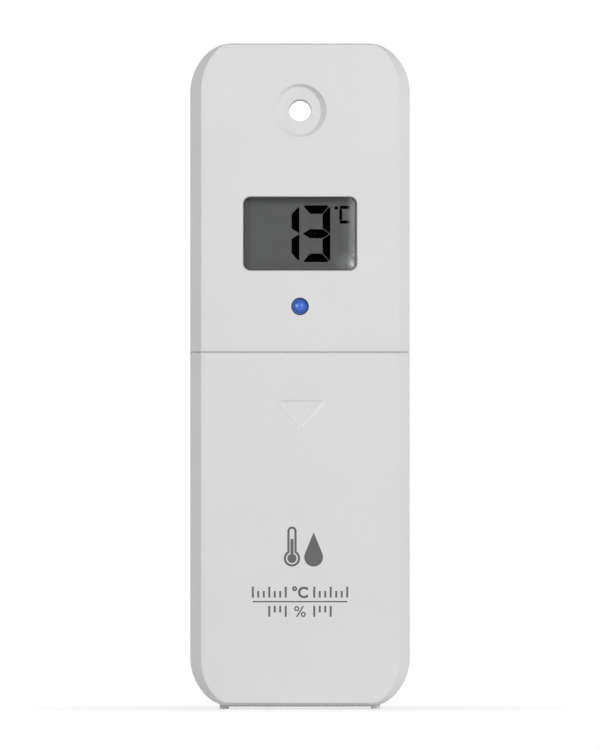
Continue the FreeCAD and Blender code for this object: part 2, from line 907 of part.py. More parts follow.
def make_status_lamp():
    """Round lamp with a domed tip, a base flange and two leads through the board."""
    tip = front + lamp_below_face
    dome = Part.makeSphere(lamp_radius, point(0, tip + lamp_radius, lamp_height))
    dome = dome.common(centred_block(0, body_width, tip, tip + lamp_radius, lamp_height, body_width))
    base = tip + lamp_length
    body = rod(0, lamp_height, lamp_radius, tip + lamp_radius, base)
    flange = rod(0, lamp_height, lamp_radius + lamp_rim, base - lamp_flange, base)
    leads = []
    for x in (-lamp_lead_spacing / 2, lamp_lead_spacing / 2):
        leads.append(centred_block(x, lamp_lead, base - lamp_flange / 2, board_back + lamp_lead,
                                   lamp_height, lamp_lead))
    return joined([dome, body, flange] + leads)


def make_board_screws():
    """Screws that hold the board on the posts of the front case."""
    x, z = board_screw_across, board_screw_height
    shank = rod(x, z, board_screw_radius, board_back - board_screw_length + screw_clearance, board_back)
    head = rod(x, z, board_screw_head_radius, board_back, board_back + board_screw_head)
    return Part.makeCompound(both_sides(joined([shank, head])))


def make_case_screws():
    """Cross-slot screws that pull the rear case onto the front case."""
    x, z = case_screw_across, case_screw_height
    top = screw_seat + case_screw_head
    shank = rod(x, z, case_screw_radius, screw_seat - case_screw_length + screw_clearance, screw_seat)
    head = rod(x, z, case_screw_head_radius, screw_seat, top)
    level = centred_block(x, cross_slot_length, top - cross_slot_depth, top, z, cross_slot_width)
    upright_slot = centred_block(x, cross_slot_width, top - cross_slot_depth, top, z, cross_slot_length)
    return Part.makeCompound(both_sides(cut(joined([shank, head]), [level, upright_slot])))


# ---- Humidity sensor -------------------------------------------------------------------------
def make_sensor_board():
    """Small board behind the air slots."""
    rear = sensor_board_front + sensor_board_thickness
    return centred_block(0, sensor_board_width, sensor_board_front, rear, slots_middle, sensor_board_height)


def make_sensor_header():
    """Row of pins that carries the small board on the main board."""
    z = slots_middle - sensor_board_height / 2 + pin_pitch / 2
    span = pin_count * pin_pitch
    strip = centred_block(0, span, board_back, board_back + pin_pitch, z, pin_pitch)
    pins = []
    for index in range(pin_count):
        x = (index - (pin_count - 1) / 2) * pin_pitch
        pins.append(centred_block(x, pin_size, board_back, sensor_board_front, z, pin_size))
    return joined([strip] + pins)


def make_humidity_sensor():
    """Sensor with a square air opening in its lid."""
    face = sensor_board_front + sensor_board_thickness
    body = centred_block(0, sensor_size, face, face + sensor_thickness, slots_middle, sensor_size)
    opening = centred_block(0, sensor_size / 2, face + sensor_thickness / 2, face + sensor_thickness,
                            slots_middle, sensor_size / 2)
    return cut(body, [opening])


# ---- Push buttons and their switches ---------------------------------------------------------
def make_switch(x):
    """Tactile switch on the front of the board."""
    body = centred_block(x, switch_size, board_front - switch_body, board_front, button_height, switch_size)
    plunger = centred_block(x, switch_plunger_width, plunger_face, board_front - switch_body,
                            button_height, switch_plunger_width)
    return joined([body, plunger])


def make_button(x):
    """Button cap that a flange keeps behind the apron."""
    stem = rod(x, button_height, button_radius - button_gap, button_front, flange_front)
    flange = rod(x, button_height, button_radius + button_rim, flange_front, button_back)
    return joined([stem, flange])


# ---- Cells, contacts and springs -------------------------------------------------------------
def make_cell(x, low, nub_up):
    """AA cell: metal can and the raised end contact."""
    can_low = low if nub_up else low + nub_length
    can_high = can_low + cell_length - nub_length
    can = upright(x, cell_y, cell_radius - sleeve_thickness, can_low, can_high)
    nub_low = can_high if nub_up else low
    nub = upright(x, cell_y, nub_radius, nub_low, nub_low + nub_length)
    return joined([can, nub])


def make_sleeve(x, low, nub_up):
    """Thin sleeve round the can, short of both metal ends."""
    can_low = low if nub_up else low + nub_length
    z0 = can_low + sleeve_end
    z1 = can_low + cell_length - nub_length - sleeve_end
    tube = upright(x, cell_y, cell_radius, z0, z1)
    return tube.cut(upright(x, cell_y, cell_radius - sleeve_thickness, z0, z1))


def make_bottom_contact():
    """Plate that joins the lower ends of the two cells."""
    half = cell_spacing / 2 + contact_width / 2
    return block(-half, half, cell_y - contact_width / 2, cell_y + contact_width / 2, bay_low, plate_top)


def solder_tab(x, z0, z1, play):
    """Strip from a top contact up to the back of the board."""
    half = solder_tab_width / 2 + play
    return block(x - half, x + half, board_back - play, board_back + contact_thickness + play, z0, z1)


def solder_tab_slots():
    """Slots in the upper bulkhead for the solder tabs."""
    return [solder_tab(x, bay_high, bay_high + bulkhead_thickness, seat_clearance) for x in cell_places()]


def make_top_contact(x):
    """Upper contact plate with its solder tab."""
    half = contact_width / 2
    low = bay_high - contact_thickness
    plate = block(x - half, x + half, cell_y - half, cell_y + half, low, bay_high)
    return joined([plate, solder_tab(x, low, board_bottom + solder_tab_length, 0)])


def make_spring(x, base, tip):
    """Conical coil spring from its wide end at base to its narrow end at tip."""
    direction = math.copysign(spring_wire_radius, tip - base)
    ends = (base + direction, tip - direction)
    body = coil((spring_base_radius, spring_tip_radius), ends, spring_wire_radius, spring_turns, 10, 5)
    body.translate(point(x, cell_y, 0))
    return body


def main():
    """Make every piece and write it to its own file."""
    os.makedirs("parts", exist_ok=True)
    left, right = cell_places()
    pieces = {
        "rear_case": make_rear_case(),
        "front_case": make_front_case(),
        "battery_cover": make_battery_cover(),
        "display_window": make_display_window(),
        "display_polariser": make_display_polariser(),
        "display_glass": make_display_glass(),
        "display_reflector": make_display_reflector(),
        "display_frame": make_display_frame(),
        "zebra_strips": make_zebra_strips(),
        "circuit_board": make_circuit_board(),
        "controller_chip": make_controller_chip(),
        "radio_module": make_radio_module(),
        "timing_crystal": make_timing_crystal(),
        "capacitors": make_capacitors(),
        "antenna_coil": make_antenna_coil(),
        "status_lamp": make_status_lamp(),
        "sensor_board": make_sensor_board(),
        "sensor_header": make_sensor_header(),
        "humidity_sensor": make_humidity_sensor(),
        "transmit_switch": make_switch(-button_spacing / 2),
        "unit_switch": make_switch(button_spacing / 2),
        "transmit_button": make_button(-button_spacing / 2),
        "unit_button": make_button(button_spacing / 2),
        "battery_cell_left": make_cell(left, left_low, True),
        "battery_cell_right": make_cell(right, right_low, False),
        "battery_sleeve_left": make_sleeve(left, left_low, True),
        "battery_sleeve_right": make_sleeve(right, right_low, False),
        "bottom_link_contact": make_bottom_contact(),
        "bottom_spring": make_spring(left, plate_top, left_low),
        "top_plate_contact": make_top_contact(left),
        "top_spring_contact": make_top_contact(right),
        "top_spring": make_spring(right, bay_high - contact_thickness, right_high),
        "case_screws": make_case_screws(),
        "board_screws": make_board_screws(),
    }
    for name, shape in pieces.items():
        save(name, shape)


main()
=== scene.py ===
"""Looks of a small wireless temperature and humidity sensor, laid out as a Blender add-on.

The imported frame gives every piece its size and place.  Each operator dresses one group of pieces:
it gives the frame's own nodes a finish, or models a finer piece that stands for a node.
Lengths are metres.  +Z is up, the display faces -Y and +X is on the right of the display.
"""

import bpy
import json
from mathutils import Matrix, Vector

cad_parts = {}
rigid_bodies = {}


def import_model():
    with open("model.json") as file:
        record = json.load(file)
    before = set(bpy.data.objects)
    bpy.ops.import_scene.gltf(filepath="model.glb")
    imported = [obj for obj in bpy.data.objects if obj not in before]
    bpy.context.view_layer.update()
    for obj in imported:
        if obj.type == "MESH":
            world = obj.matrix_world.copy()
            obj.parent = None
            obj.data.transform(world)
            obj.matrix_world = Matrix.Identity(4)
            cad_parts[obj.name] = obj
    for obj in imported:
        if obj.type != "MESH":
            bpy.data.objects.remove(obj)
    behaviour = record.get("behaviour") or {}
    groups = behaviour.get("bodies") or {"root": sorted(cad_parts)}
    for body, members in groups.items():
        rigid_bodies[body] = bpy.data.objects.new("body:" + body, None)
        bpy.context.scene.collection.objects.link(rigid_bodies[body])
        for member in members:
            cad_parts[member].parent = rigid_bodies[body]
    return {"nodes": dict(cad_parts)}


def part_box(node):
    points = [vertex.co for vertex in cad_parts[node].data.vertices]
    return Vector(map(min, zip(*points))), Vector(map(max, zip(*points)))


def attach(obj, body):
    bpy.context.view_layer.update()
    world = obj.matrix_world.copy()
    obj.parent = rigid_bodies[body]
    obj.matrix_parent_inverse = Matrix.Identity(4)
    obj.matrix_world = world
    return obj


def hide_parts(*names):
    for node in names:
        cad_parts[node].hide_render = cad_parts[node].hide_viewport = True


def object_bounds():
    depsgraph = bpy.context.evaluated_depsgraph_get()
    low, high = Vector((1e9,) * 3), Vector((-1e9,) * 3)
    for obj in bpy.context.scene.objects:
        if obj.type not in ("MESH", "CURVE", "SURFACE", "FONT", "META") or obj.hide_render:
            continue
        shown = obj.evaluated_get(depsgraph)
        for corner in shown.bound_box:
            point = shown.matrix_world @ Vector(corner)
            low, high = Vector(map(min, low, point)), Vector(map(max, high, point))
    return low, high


bl_info = {
    "name": "Weather Sensor Looks",
    "version": (1, 0, 0),
    "blender": (4, 5, 0),
    "location": "View3D > Sidebar > Sensor",
    "description": "Finishes, printed signs, display figures and stage of a weather sensor",
    "category": "Object",
}

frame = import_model()

import json
import math

import bmesh
import bpy
from bpy.props import FloatProperty, FloatVectorProperty, IntProperty, PointerProperty
from mathutils import Matrix, Vector

for spare in [o for o in bpy.data.objects if o.name in ("Cube", "Camera", "Light")]:
    bpy.data.objects.remove(spare)

MM = 0.001
CASE = "case"
COVER = "battery_cover"
WELD = 0.0005 * MM
SHARP_EDGE = math.radians(35)
INK_RAISED, FIGURE_RAISED, INK_SUNK = 0.02 * MM, 0.03 * MM, 0.01 * MM
CAD_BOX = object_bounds()


# ---- Reading the frame ----
def middle(node):
    """Centre of a node's box."""
    low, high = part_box(node)
    return (low + high) / 2


def linear(red, green, blue):
    """A colour written in display values from 0 to 255, as the light values that shaders take."""
    values = []
    for value in (red / 255, green / 255, blue / 255):
        values.append(value / 12.92 if value <= 0.04045 else ((value + 0.055) / 1.055) ** 2.4)
    return tuple(values)


# ---- Settings ----
def length_setting(name, description, millimetres):
    """A length that the user may change."""
    return FloatProperty(name=name, description=description, default=millimetres * MM, min=0,
                         subtype="DISTANCE", unit="LENGTH", precision=5)


def power_setting(name, description, watts):
    """The power of a lamp, which the user may change."""
    return FloatProperty(name=name, description=description, default=watts, min=0, unit="POWER")


def colour_setting(name, description, colour):
    """A colour that the user may change."""
    return FloatVectorProperty(name=name, description=description, default=linear(*colour), size=3,
                               min=0, max=1, subtype="COLOR")


class SensorCaseSettings(bpy.types.PropertyGroup):
    """Finish of the moulded case."""

    shell: colour_setting("Shell", "Colour of the case and the cover", (225, 225, 225))
    grain: length_setting("Grain", "Size of the fine texture of the mould", 0.28)
    seam: length_setting("Seam", "Height of the seam between the case and the cover", 65.05)
    inner: colour_setting("Inner parts", "Colour of the display frame", (206, 207, 205))
    button: colour_setting("Buttons", "Colour of the two button caps", (176, 178, 180))


class SensorDisplaySettings(bpy.types.PropertyGroup):
    """What the liquid crystal display shows."""

    reading: IntProperty(name="Reading", description="Temperature in degrees", default=13, min=0,
                         max=99)
    figure_width: length_setting("Figure width", "Width of one figure", 5.13)
    figure_height: length_setting("Figure height", "Height of one figure", 10.34)
    upright_stroke: length_setting("Upright stroke", "Width of an upright segment", 1.4)
    level_stroke: length_setting("Level stroke", "Height of a level segment", 1.55)
    figure_gap: length_setting("Gap", "Gap between two segments", 0.13)
    figure_chamfer: length_setting("Corner", "Length cut off each outer corner of a figure", 0.5)
    figure_right: length_setting("Right edge", "From the middle to the last figure's edge", 5.52)
    figure_pitch: length_setting("Pitch", "From one figure to the next", 5.65)
    opening_width: length_setting("Opening width", "Width of the display in view", 20.8)
    opening_height: length_setting("Opening height", "Height of the display in view", 13.46)
    field: colour_setting("Field", "Colour of the display behind its figures", (115, 114, 114))
    ink: colour_setting("Figures", "Colour of the figures", (3, 3, 3))


class SensorPrintSettings(bpy.types.PropertyGroup):
    """Signs printed on the cover."""

    ink: colour_setting("Ink", "Colour of the printed signs", (100, 100, 100))
    sign_low: length_setting("Sign height", "From the feet to the foot of the thermometer", 26.0)
    sign_size: length_setting("Sign size", "Height of the thermometer sign", 7.3)
    rule_height: length_setting("Rule height", "From the feet to the thin rule", 19.6)
    rule_length: length_setting("Rule length", "Length of the thin rule", 17.2)
    letter: length_setting("Unit height", "Height of the unit signs", 2.0)


class SensorStageSettings(bpy.types.PropertyGroup):
    """Camera, lamps and floor."""

    camera_distance: length_setting("Distance", "From the camera to the front of the case", 4500)
    view_height: length_setting("View height", "Height of the picture at the case", 136.65)
    camera_height: length_setting("Camera height", "Height of the camera above the floor", 60.9)
    key: power_setting("Key lamp", "Power of the large lamp in front, to the right", 4.75)
    fill: power_setting("Fill lamp", "Power of the lamp at the upper left", 2.85)
    rear: power_setting("Rear lamp", "Power of the lamp behind the case", 4.4)
    ambient: FloatProperty(name="Ambient", description="Light of the room", default=0.33, min=0)


class SensorSettings(bpy.types.PropertyGroup):
    """All settings of the sensor."""

    case: PointerProperty(type=SensorCaseSettings)
    display: PointerProperty(type=SensorDisplaySettings)
    print: PointerProperty(type=SensorPrintSettings)
    stage: PointerProperty(type=SensorStageSettings)


# ---- Node helpers ----
class Finish:
    """A node material under construction: its tree, its shader and the piece's own coordinates."""

    def __init__(self, name):
        self.material = bpy.data.materials.new(name)
        self.material.use_nodes = True
        self.tree = self.material.node_tree
        self.shader = self.tree.nodes["Principled BSDF"]
        self.place = self.tree.nodes.new("ShaderNodeTexCoord").outputs["Object"]

    def node(self, kind, inputs=(), **settings):
        """A new node with its own settings and the values of its inputs."""
        node = self.tree.nodes.new(kind)
        for name, value in settings.items():
            setattr(node, name, value)
        for name, value in dict(inputs).items():
            node.inputs[name].default_value = value
        return node

    def link(self, output, target):
        """Join an output to an input."""
        self.tree.links.new(output, target)

    def stretched(self, scale, turn=(0, 0, 0), shift=(0, 0, 0)):
        """The piece's coordinates, scaled, turned and shifted."""
        node = self.node("ShaderNodeMapping", {"Scale": scale, "Rotation": turn, "Location": shift})
        self.link(self.place, node.inputs["Vector"])
        return node.outputs["Vector"]

    def noise(self, grain, detail=2.0, place=None):
        """Soft random values with patches about as large as grain."""
        node = self.node("ShaderNodeTexNoise", {"Scale": 1 / grain, "Detail": detail})
        self.link(place or self.place, node.inputs["Vector"])
        return node.outputs["Fac"]

    def spread(self, share, low, high, start=0.0, end=1.0):
        """Share from start to end, turned into a value from low to high."""
        node = self.node("ShaderNodeMapRange", {"From Min": start, "From Max": end,
                                                "To Min": low, "To Max": high})
        self.link(share, node.inputs["Value"])
        return node.outputs["Result"]

    def math(self, operation, first, second=None):
        """A sum on one or two values."""
        node = self.node("ShaderNodeMath", operation=operation)
        for index, value in enumerate((first, second)):
            if isinstance(value, (int, float)):
                node.inputs[index].default_value = value
            elif value is not None:
                self.link(value, node.inputs[index])
        return node.outputs["Value"]

    def away(self, value, origin):
        """How far a value is from another, whichever side it is on."""
        return self.math("ABSOLUTE", self.math("SUBTRACT", value, origin))

    def product(self, first, second):
        """One value times another."""
        return self.math("MULTIPLY", first, second)

    def axis(self, name):
        """One of the piece's coordinates."""
        node = self.node("ShaderNodeSeparateXYZ")
        self.link(self.place, node.inputs["Vector"])
        return node.outputs[name]

    def distance(self, centre, squeeze=(1, 1, 1)):
        """Distance from a point, in the piece's coordinates."""
        shift = [-c * s for c, s in zip(centre, squeeze)]
        node = self.node("ShaderNodeVectorMath", operation="LENGTH")
        self.link(self.stretched(squeeze, shift=shift), node.inputs[0])
        return node.outputs["Value"]

    def mix(self, share, first, second):
        """Two colours, mixed by share."""
        node = self.node("ShaderNodeMix", data_type="RGBA")
        self.link(share, node.inputs["Factor"])
        for name, colour in (("A", first), ("B", second)):
            target = next(s for s in node.inputs if s.name == name and s.type == "RGBA")
            if isinstance(colour, bpy.types.NodeSocket):
                self.link(colour, target)
            else:
                target.default_value = (*colour, 1)
        return next(s for s in node.outputs if s.type == "RGBA")

    def patched(self, share, first, second, start=0.3, end=0.7):
        """Two colours, the second where share is past end."""
        return self.mix(self.spread(share, 0, 1, start, end), first, second)

    def blended(self, share, first, second):
        """Two shaders, mixed by share."""
        node = self.node("ShaderNodeMixShader")
        self.link(share, node.inputs["Fac"])
        self.link(first.outputs[0], node.inputs[1])
        self.link(second.outputs[0], node.inputs[2])
        return node

    def bump(self, height, depth, under=None):
        """Relief of a given depth, over another relief if one is given."""
        node = self.node("ShaderNodeBump", {"Distance": depth, "Strength": 1.0})
        self.link(height, node.inputs["Height"])
        if under is not None:
            self.link(under, node.inputs["Normal"])
        return node.outputs["Normal"]

    def shade(self, **values):
        """Give the shader plain values, or outputs of other nodes to follow."""
        for name, value in values.items():
            socket = self.shader.inputs[name.replace("_", " ")]
            if isinstance(value, bpy.types.NodeSocket):
                self.link(value, socket)
            else:
                socket.default_value = (*value, 1) if isinstance(value, tuple) else value

    def surface(self, colour, share, smooth, rough, depth, start=0.0, end=1.0, **values):
        """Give the shader a colour, roughness and relief that follow share, and plain values."""
        self.shade(Base_Color=colour, Roughness=self.spread(share, smooth, rough, start, end),
                   Normal=self.bump(share, depth * MM), **values)
        return self.material


def tinted(colour, factor):
    """A colour made lighter or darker."""
    return tuple(min(1.0, value * factor) for value in colour)


# ---- Finishes ----
def moulded_plastic(name, colour, grain, gloss=0.5, seam=None, shading_lines=()):
    """Moulded plastic with the fine spark texture of its mould and faint flow patches.

    Where a seam height is given, painted shade darkens a band along the seam and painted light
    brightens its parting faces in the gap.
    Each shading line is its start and end, as (x, z) in millimetres, and how much lighter it is:
    above 1 a painted highlight, below 1 painted shade.
    """
    flow_size, seam_shade_reach, gap_light_depth, shading_line_width = 14 * MM, 0.6 * MM, 0.05 * MM, 0.4 * MM
    finish = Finish(name)
    flow = finish.noise(flow_size, 3.0)
    speckle = finish.noise(grain, 1.0)
    toned = finish.patched(flow, tinted(colour, 0.985), tinted(colour, 1.012))
    speckled = finish.spread(speckle, 0, 0.5, 0.35, 0.75)
    fine = finish.mix(speckled, toned, tinted(colour, 0.965))
    if seam is not None:
        away = finish.away(finish.axis("Z"), seam)
        # Painted shade: a darker band close along the seam.
        painted_seam_shade = finish.math("POWER", finish.spread(away, 1, 0, 0, seam_shade_reach), 1.5)
        fine = finish.mix(finish.product(painted_seam_shade, 0.3), fine, tinted(colour, 0.82))
        # Painted light: the parting faces inside the seam's gap are painted bright, which lightens
        # the gap's shadow.
        painted_gap_light = finish.spread(away, 1, 0, gap_light_depth, gap_light_depth + 0.02 * MM)
        fine = finish.mix(painted_gap_light, fine, tinted(colour, 1.25))
    # Painted highlight or painted shade along each given line.
    for start, end, factor in shading_lines:
        fine = rubbed_line(finish, fine, tinted(colour, factor), start * MM, end * MM, shading_line_width)
    polish = finish.spread(finish.noise(grain * 2), gloss - 0.05, gloss + 0.07, 0.3, 0.7)
    finish.shade(Base_Color=fine, Roughness=polish, Normal=finish.bump(speckle, 0.006 * MM),
                 Specular_IOR_Level=0.28)
    return finish.material


def rubbed_line(finish, base, colour, start, end, width):
    """Base colour with a line from start to end, both (x, z), painted lighter as a highlight or
    darker as shade.
    """
    run = (end - start).normalized()
    x, z = finish.axis("X"), finish.axis("Z")
    across = finish.math("ADD", finish.product(x, run.y), finish.product(z, -run.x))
    along = finish.math("ADD", finish.product(x, run.x), finish.product(z, run.y))
    centre = (start + end) / 2
    aside = finish.away(across, centre.x * run.y - centre.y * run.x)
    beyond = finish.away(along, centre.dot(run))
    reach = (end - start).length / 2
    inside = finish.product(finish.spread(aside, 1, 0, width * 0.2, width),
                            finish.spread(beyond, 1, 0, reach - width, reach))
    return finish.mix(inside, base, colour)


def grained(name, grain, first, second, smooth, rough, depth, start=0.0, end=1.0, **values):
    """An even finish whose colour, roughness and relief all follow one fine grain."""
    finish = Finish(name)
    share = finish.noise(grain)
    colour = finish.patched(share, first, second, start, end)
    return finish.surface(colour, share, smooth, rough, depth, **values)


def flat_ink(name, colour, gloss=0.3):
    """Screen printed ink: a soft even layer that is slightly thin in places."""
    return grained(name, 0.18 * MM, colour, tinted(colour, 1.16), 0.5, 0.62, 0.002, 0.35, 0.75,
                   Specular_IOR_Level=gloss)


def sheet_glass(name):
    """Thin float glass with ground edges."""
    return grained(name, 0.5 * MM, linear(120, 128, 124), linear(136, 142, 138), 0.05, 0.12, 0.0006,
                   Coat_Weight=0.4, Coat_Roughness=0.05)


def epoxy_resin(name, colour=(30, 30, 32)):
    """Matt filled resin or ceramic with a fine sandy grain."""
    shade = linear(*colour)
    return grained(name, 0.09 * MM, tinted(shade, 0.8), tinted(shade, 1.5), 0.45, 0.65, 0.004)


def display_field(name, colour, window):
    """Grey polarising film with painted shadow along its left and top and painted light toward its
    right.
    """
    finish = Finish(name)
    threads = finish.noise(0.22 * MM)
    base = finish.patched(threads, tinted(colour, 0.97), tinted(colour, 1.03), 0.4, 0.7)
    across, up = finish.axis("X"), finish.axis("Z")
    right = window[1].x
    # Painted light: up to three times lighter toward the right edge.
    painted_light_right = finish.math("POWER", finish.spread(across, 0, 1, 0.7 * right, 0.98 * right), 1.75)
    lit = finish.mix(painted_light_right, base, tinted(colour, 3.0))
    # Painted shadow of the window's rim along the left and top edges.
    from_left = finish.math("SUBTRACT", across, window[0].x)
    from_top = finish.math("SUBTRACT", window[1].z, up)
    left_shade = finish.spread(from_left, 1, 0, 0.3 * MM, 1.6 * MM)
    top_shade = finish.product(finish.spread(from_top, 1, 0, 0.4 * MM, 1.5 * MM), 0.1)
    shade = finish.math("MAXIMUM", left_shade, top_shade)
    film = finish.mix(shade, lit, tinted(colour, 0.66))
    return finish.surface(film, threads, 0.38, 0.46, 0.001, Specular_IOR_Level=0.25)


def clear_pane(name, tint, reflection_centre):
    """Clear moulded lens that mirrors the room, with a painted reflection: a white patch near its
    lower right corner and a pale band along its right edge.
    """
    finish = Finish(name)
    nodes = finish.tree.nodes
    nodes.remove(finish.shader)
    through = finish.node("ShaderNodeBsdfTransparent", {"Color": (*tint, 1)})
    # White diffuse that paints the reflection onto the lens.
    painted_reflection = finish.node("ShaderNodeBsdfDiffuse", {"Color": (0.85, 0.86, 0.86, 1)})

    def around_gate(squeeze, reach, power, most):
        near = finish.spread(finish.distance(reflection_centre, squeeze), 1, 0, 0, reach * MM)
        return finish.product(finish.math("POWER", near, power), most)

    # Painted reflection: white around its centre near the lower right corner.
    streaks = finish.spread(finish.noise(0.6 * MM), 0.6, 1, 0.35, 0.6)
    reflection_share = finish.math("ADD", around_gate((0.9, 0, 0.8), 1.15, 2.2, 0.43),
                        around_gate((0.75, 0, 1), 3.0, 1.2, 0.18))
    # Painted light along the right edge, where the case rim's shadow falls.
    side = finish.spread(finish.axis("X"), 0, 1, reflection_centre.x - 1.1 * MM, reflection_centre.x + 0.1 * MM)
    reflection_share = finish.math("ADD", reflection_share, finish.product(side, 0.27))
    with_painted_reflection = finish.blended(finish.product(reflection_share, streaks), through, painted_reflection)
    gloss = finish.node("ShaderNodeBsdfGlossy", {"Roughness": 0.09})
    mirror = finish.node("ShaderNodeFresnel", {"IOR": 1.38})
    waves = finish.bump(finish.noise(2.6 * MM, 1.0), 0.004 * MM)
    finish.link(waves, gloss.inputs["Normal"])
    finish.link(waves, mirror.inputs["Normal"])
    both = finish.blended(mirror.outputs["Fac"], with_painted_reflection, gloss)
    finish.link(both.outputs[0], nodes["Material Output"].inputs["Surface"])
    return finish.material


def bare_metal(name, colour, stroke, rough=0.26, squeeze=(1, 1, 9)):
    """Plated or rolled metal with fine drawing lines."""
    finish = Finish(name)
    lines = finish.noise(stroke, 3.0, finish.stretched(squeeze))
    toned = finish.patched(finish.noise(3 * MM), tinted(colour, 0.9), colour)
    drawn = finish.spread(lines, 0, 0.6, 0.35, 0.7)
    plating = finish.mix(drawn, toned, tinted(colour, 0.8))
    return finish.surface(plating, lines, rough - 0.06, rough + 0.1, 0.0015, 0.3, 0.7, Metallic=1.0)


def lamp_resin(name, tip, radius):
    """Blue tinted resin, paler in its middle, with painted light on its rim and a painted highlight
    left of its middle.
    """
    finish = Finish(name)
    flat = (1, 0, 1)
    # Painted light: the rim is painted paler, where little light reaches the dome's edge.
    rim = finish.spread(finish.distance(tip, flat), 0, 1, radius * 0.74, radius)
    body = finish.mix(rim, linear(62, 106, 200), linear(138, 186, 255))
    core_place = tip + Vector((-0.1 * MM, 0, -0.1 * MM))
    # Paler towards the middle.
    core = finish.spread(finish.distance(core_place, flat), 0.8, 0, 0, radius * 0.7)
    lighter_middle = finish.mix(core, body, linear(80, 112, 222))
    # Painted highlight: a pale spot left of the tip.
    highlight_place = tip + Vector((-0.62 * MM, 0, 0.12 * MM))
    painted_highlight = finish.spread(finish.distance(highlight_place, flat), 1, 0, 0.08 * MM, 0.42 * MM)
    resin = finish.mix(painted_highlight, lighter_middle, linear(150, 182, 240))
    return finish.surface(resin, finish.noise(0.35 * MM), 0.3, 0.4, 0.002, Coat_Weight=0.15,
                          Coat_Roughness=0.2, Specular_IOR_Level=0.3)


def solder_mask(name):
    """Green lacquered laminate with fine tracks under the lacquer."""
    finish = Finish(name)
    green = linear(28, 92, 60)
    bricks = finish.node(
        "ShaderNodeTexBrick",
        {"Scale": 1.0, "Mortar Size": 0.13 * MM, "Mortar Smooth": 0.1, "Brick Width": 3.1 * MM,
         "Row Height": 0.9 * MM},
        offset=0.37, offset_frequency=3, squash=0.6, squash_frequency=2)
    finish.link(finish.stretched((1, 1, 1), (math.pi / 2, 0, 0)), bricks.inputs["Vector"])
    tracks = bricks.outputs["Fac"]
    weave = finish.noise(0.4 * MM)
    lacquer = finish.patched(weave, green, tinted(green, 1.15))
    finish.shade(Base_Color=finish.mix(tracks, lacquer, linear(46, 124, 78)),
                 Roughness=finish.spread(weave, 0.26, 0.38),
                 Normal=finish.bump(tracks, 0.03 * MM, finish.bump(weave, 0.004 * MM)))
    return finish.material


def striped_rubber(name):
    """Contact rubber: thin dark and pale layers side by side."""
    finish = Finish(name)
    layer_pair = 0.22 * MM
    layers = finish.node("ShaderNodeTexWave", {"Scale": 0.5 / layer_pair, "Distortion": 0.0},
                         bands_direction="X")
    finish.link(finish.place, layers.inputs["Vector"])
    share = layers.outputs["Fac"]
    rubber = finish.mix(share, linear(34, 34, 36), linear(206, 150, 120))
    return finish.surface(rubber, share, 0.6, 0.8, 0.008)


def cell_wrap(name, low, high, nub_up):
    """Shrink sleeve of a cell: green, with polarity signs and a pale band at its positive end."""
    finish = Finish(name)
    green, pale = linear(44, 112, 92), linear(214, 216, 210)
    up = 1 if nub_up else -1
    top, bottom = (high.z, low.z) if nub_up else (low.z, high.z)
    band = 0.24 * (high.z - low.z)
    start = top - up * band
    edge, line_gap, line_half = 0.05 * MM, 1.6 * MM, 0.3 * MM
    along = finish.axis("Z")
    share = finish.spread(along, 0, 1, start - edge, start + edge)
    share = share if nub_up else finish.math("SUBTRACT", 1.0, share)
    line = finish.math("LESS_THAN", finish.away(along, start - up * line_gap), line_half)
    wrinkle = finish.noise(2.2 * MM, 2.0, finish.stretched((1, 1, 0.35)))
    ink = finish.patched(wrinkle, tinted(green, 0.92), tinted(green, 1.08))
    centre = (low + high) / 2

    def bar(z, half_width, half_height):
        across = finish.away(finish.axis("X"), centre.x)
        in_front = finish.math("LESS_THAN", finish.axis("Y"), centre.y)
        inside = finish.product(finish.math("LESS_THAN", across, half_width),
                                finish.math("LESS_THAN", finish.away(along, z), half_height))
        return finish.product(inside, in_front)

    plus_z, minus_z = start + up * band / 2, bottom + up * band / 2
    long_arm, short_arm = 1.7 * MM, 0.34 * MM
    plus = finish.math("MAXIMUM", bar(plus_z, long_arm, short_arm),
                       bar(plus_z, short_arm, long_arm))
    wrapped = finish.mix(line, finish.mix(share, ink, pale), pale)
    signed = finish.mix(plus, wrapped, tinted(green, 0.6))
    sleeve = finish.mix(bar(minus_z, long_arm, short_arm), signed, pale)
    return finish.surface(sleeve, wrinkle, 0.28, 0.4, 0.02, Coat_Weight=0.3, Coat_Roughness=0.12)


def give(finish, *nodes):
    """Put a finish on nodes of the frame."""
    for name in nodes:
        for slot in frame["nodes"][name].material_slots:
            slot.material = finish


# ---- Mesh helpers ----
def placed(name, data):
    """A new object in the scene."""
    thing = bpy.data.objects.new(name, data)
    bpy.context.scene.collection.objects.link(thing)
    return thing


def mesh_from(bm, name, material):
    """Turn a mesh under construction into a finished mesh with a material."""
    mesh = bpy.data.meshes.new(name)
    bm.to_mesh(mesh)
    bm.free()
    mesh.materials.append(material)
    return mesh


def finished(name, bm, material, stands_for=(), body=CASE):
    """A piece of the object from a mesh under construction, riding on its body."""
    bmesh.ops.remove_doubles(bm, verts=bm.verts, dist=WELD)
    bmesh.ops.recalc_face_normals(bm, faces=bm.faces)
    mesh = mesh_from(bm, name, material)
    mesh.shade_smooth()
    mesh.set_sharp_from_angle(angle=SHARP_EDGE)
    piece = placed(name, mesh)
    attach(piece, body)
    if stands_for:
        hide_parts(*stands_for)


def moved(bm, verts, vec):
    """Move vertices by a distance."""
    bmesh.ops.translate(bm, verts=verts, vec=vec)


def stood_up(bm, verts):
    """Turn what was drawn flat so that it faces the front."""
    bmesh.ops.rotate(bm, verts=verts, cent=(0, 0, 0), matrix=Matrix.Rotation(math.pi / 2, 3, "X"))


def flat_face(bm, corners, y):
    """One flat face square to Y, through corners given across and up."""
    face = bm.faces.new([bm.verts.new((x, y, z)) for x, z in corners])
    face.normal_update()
    return face


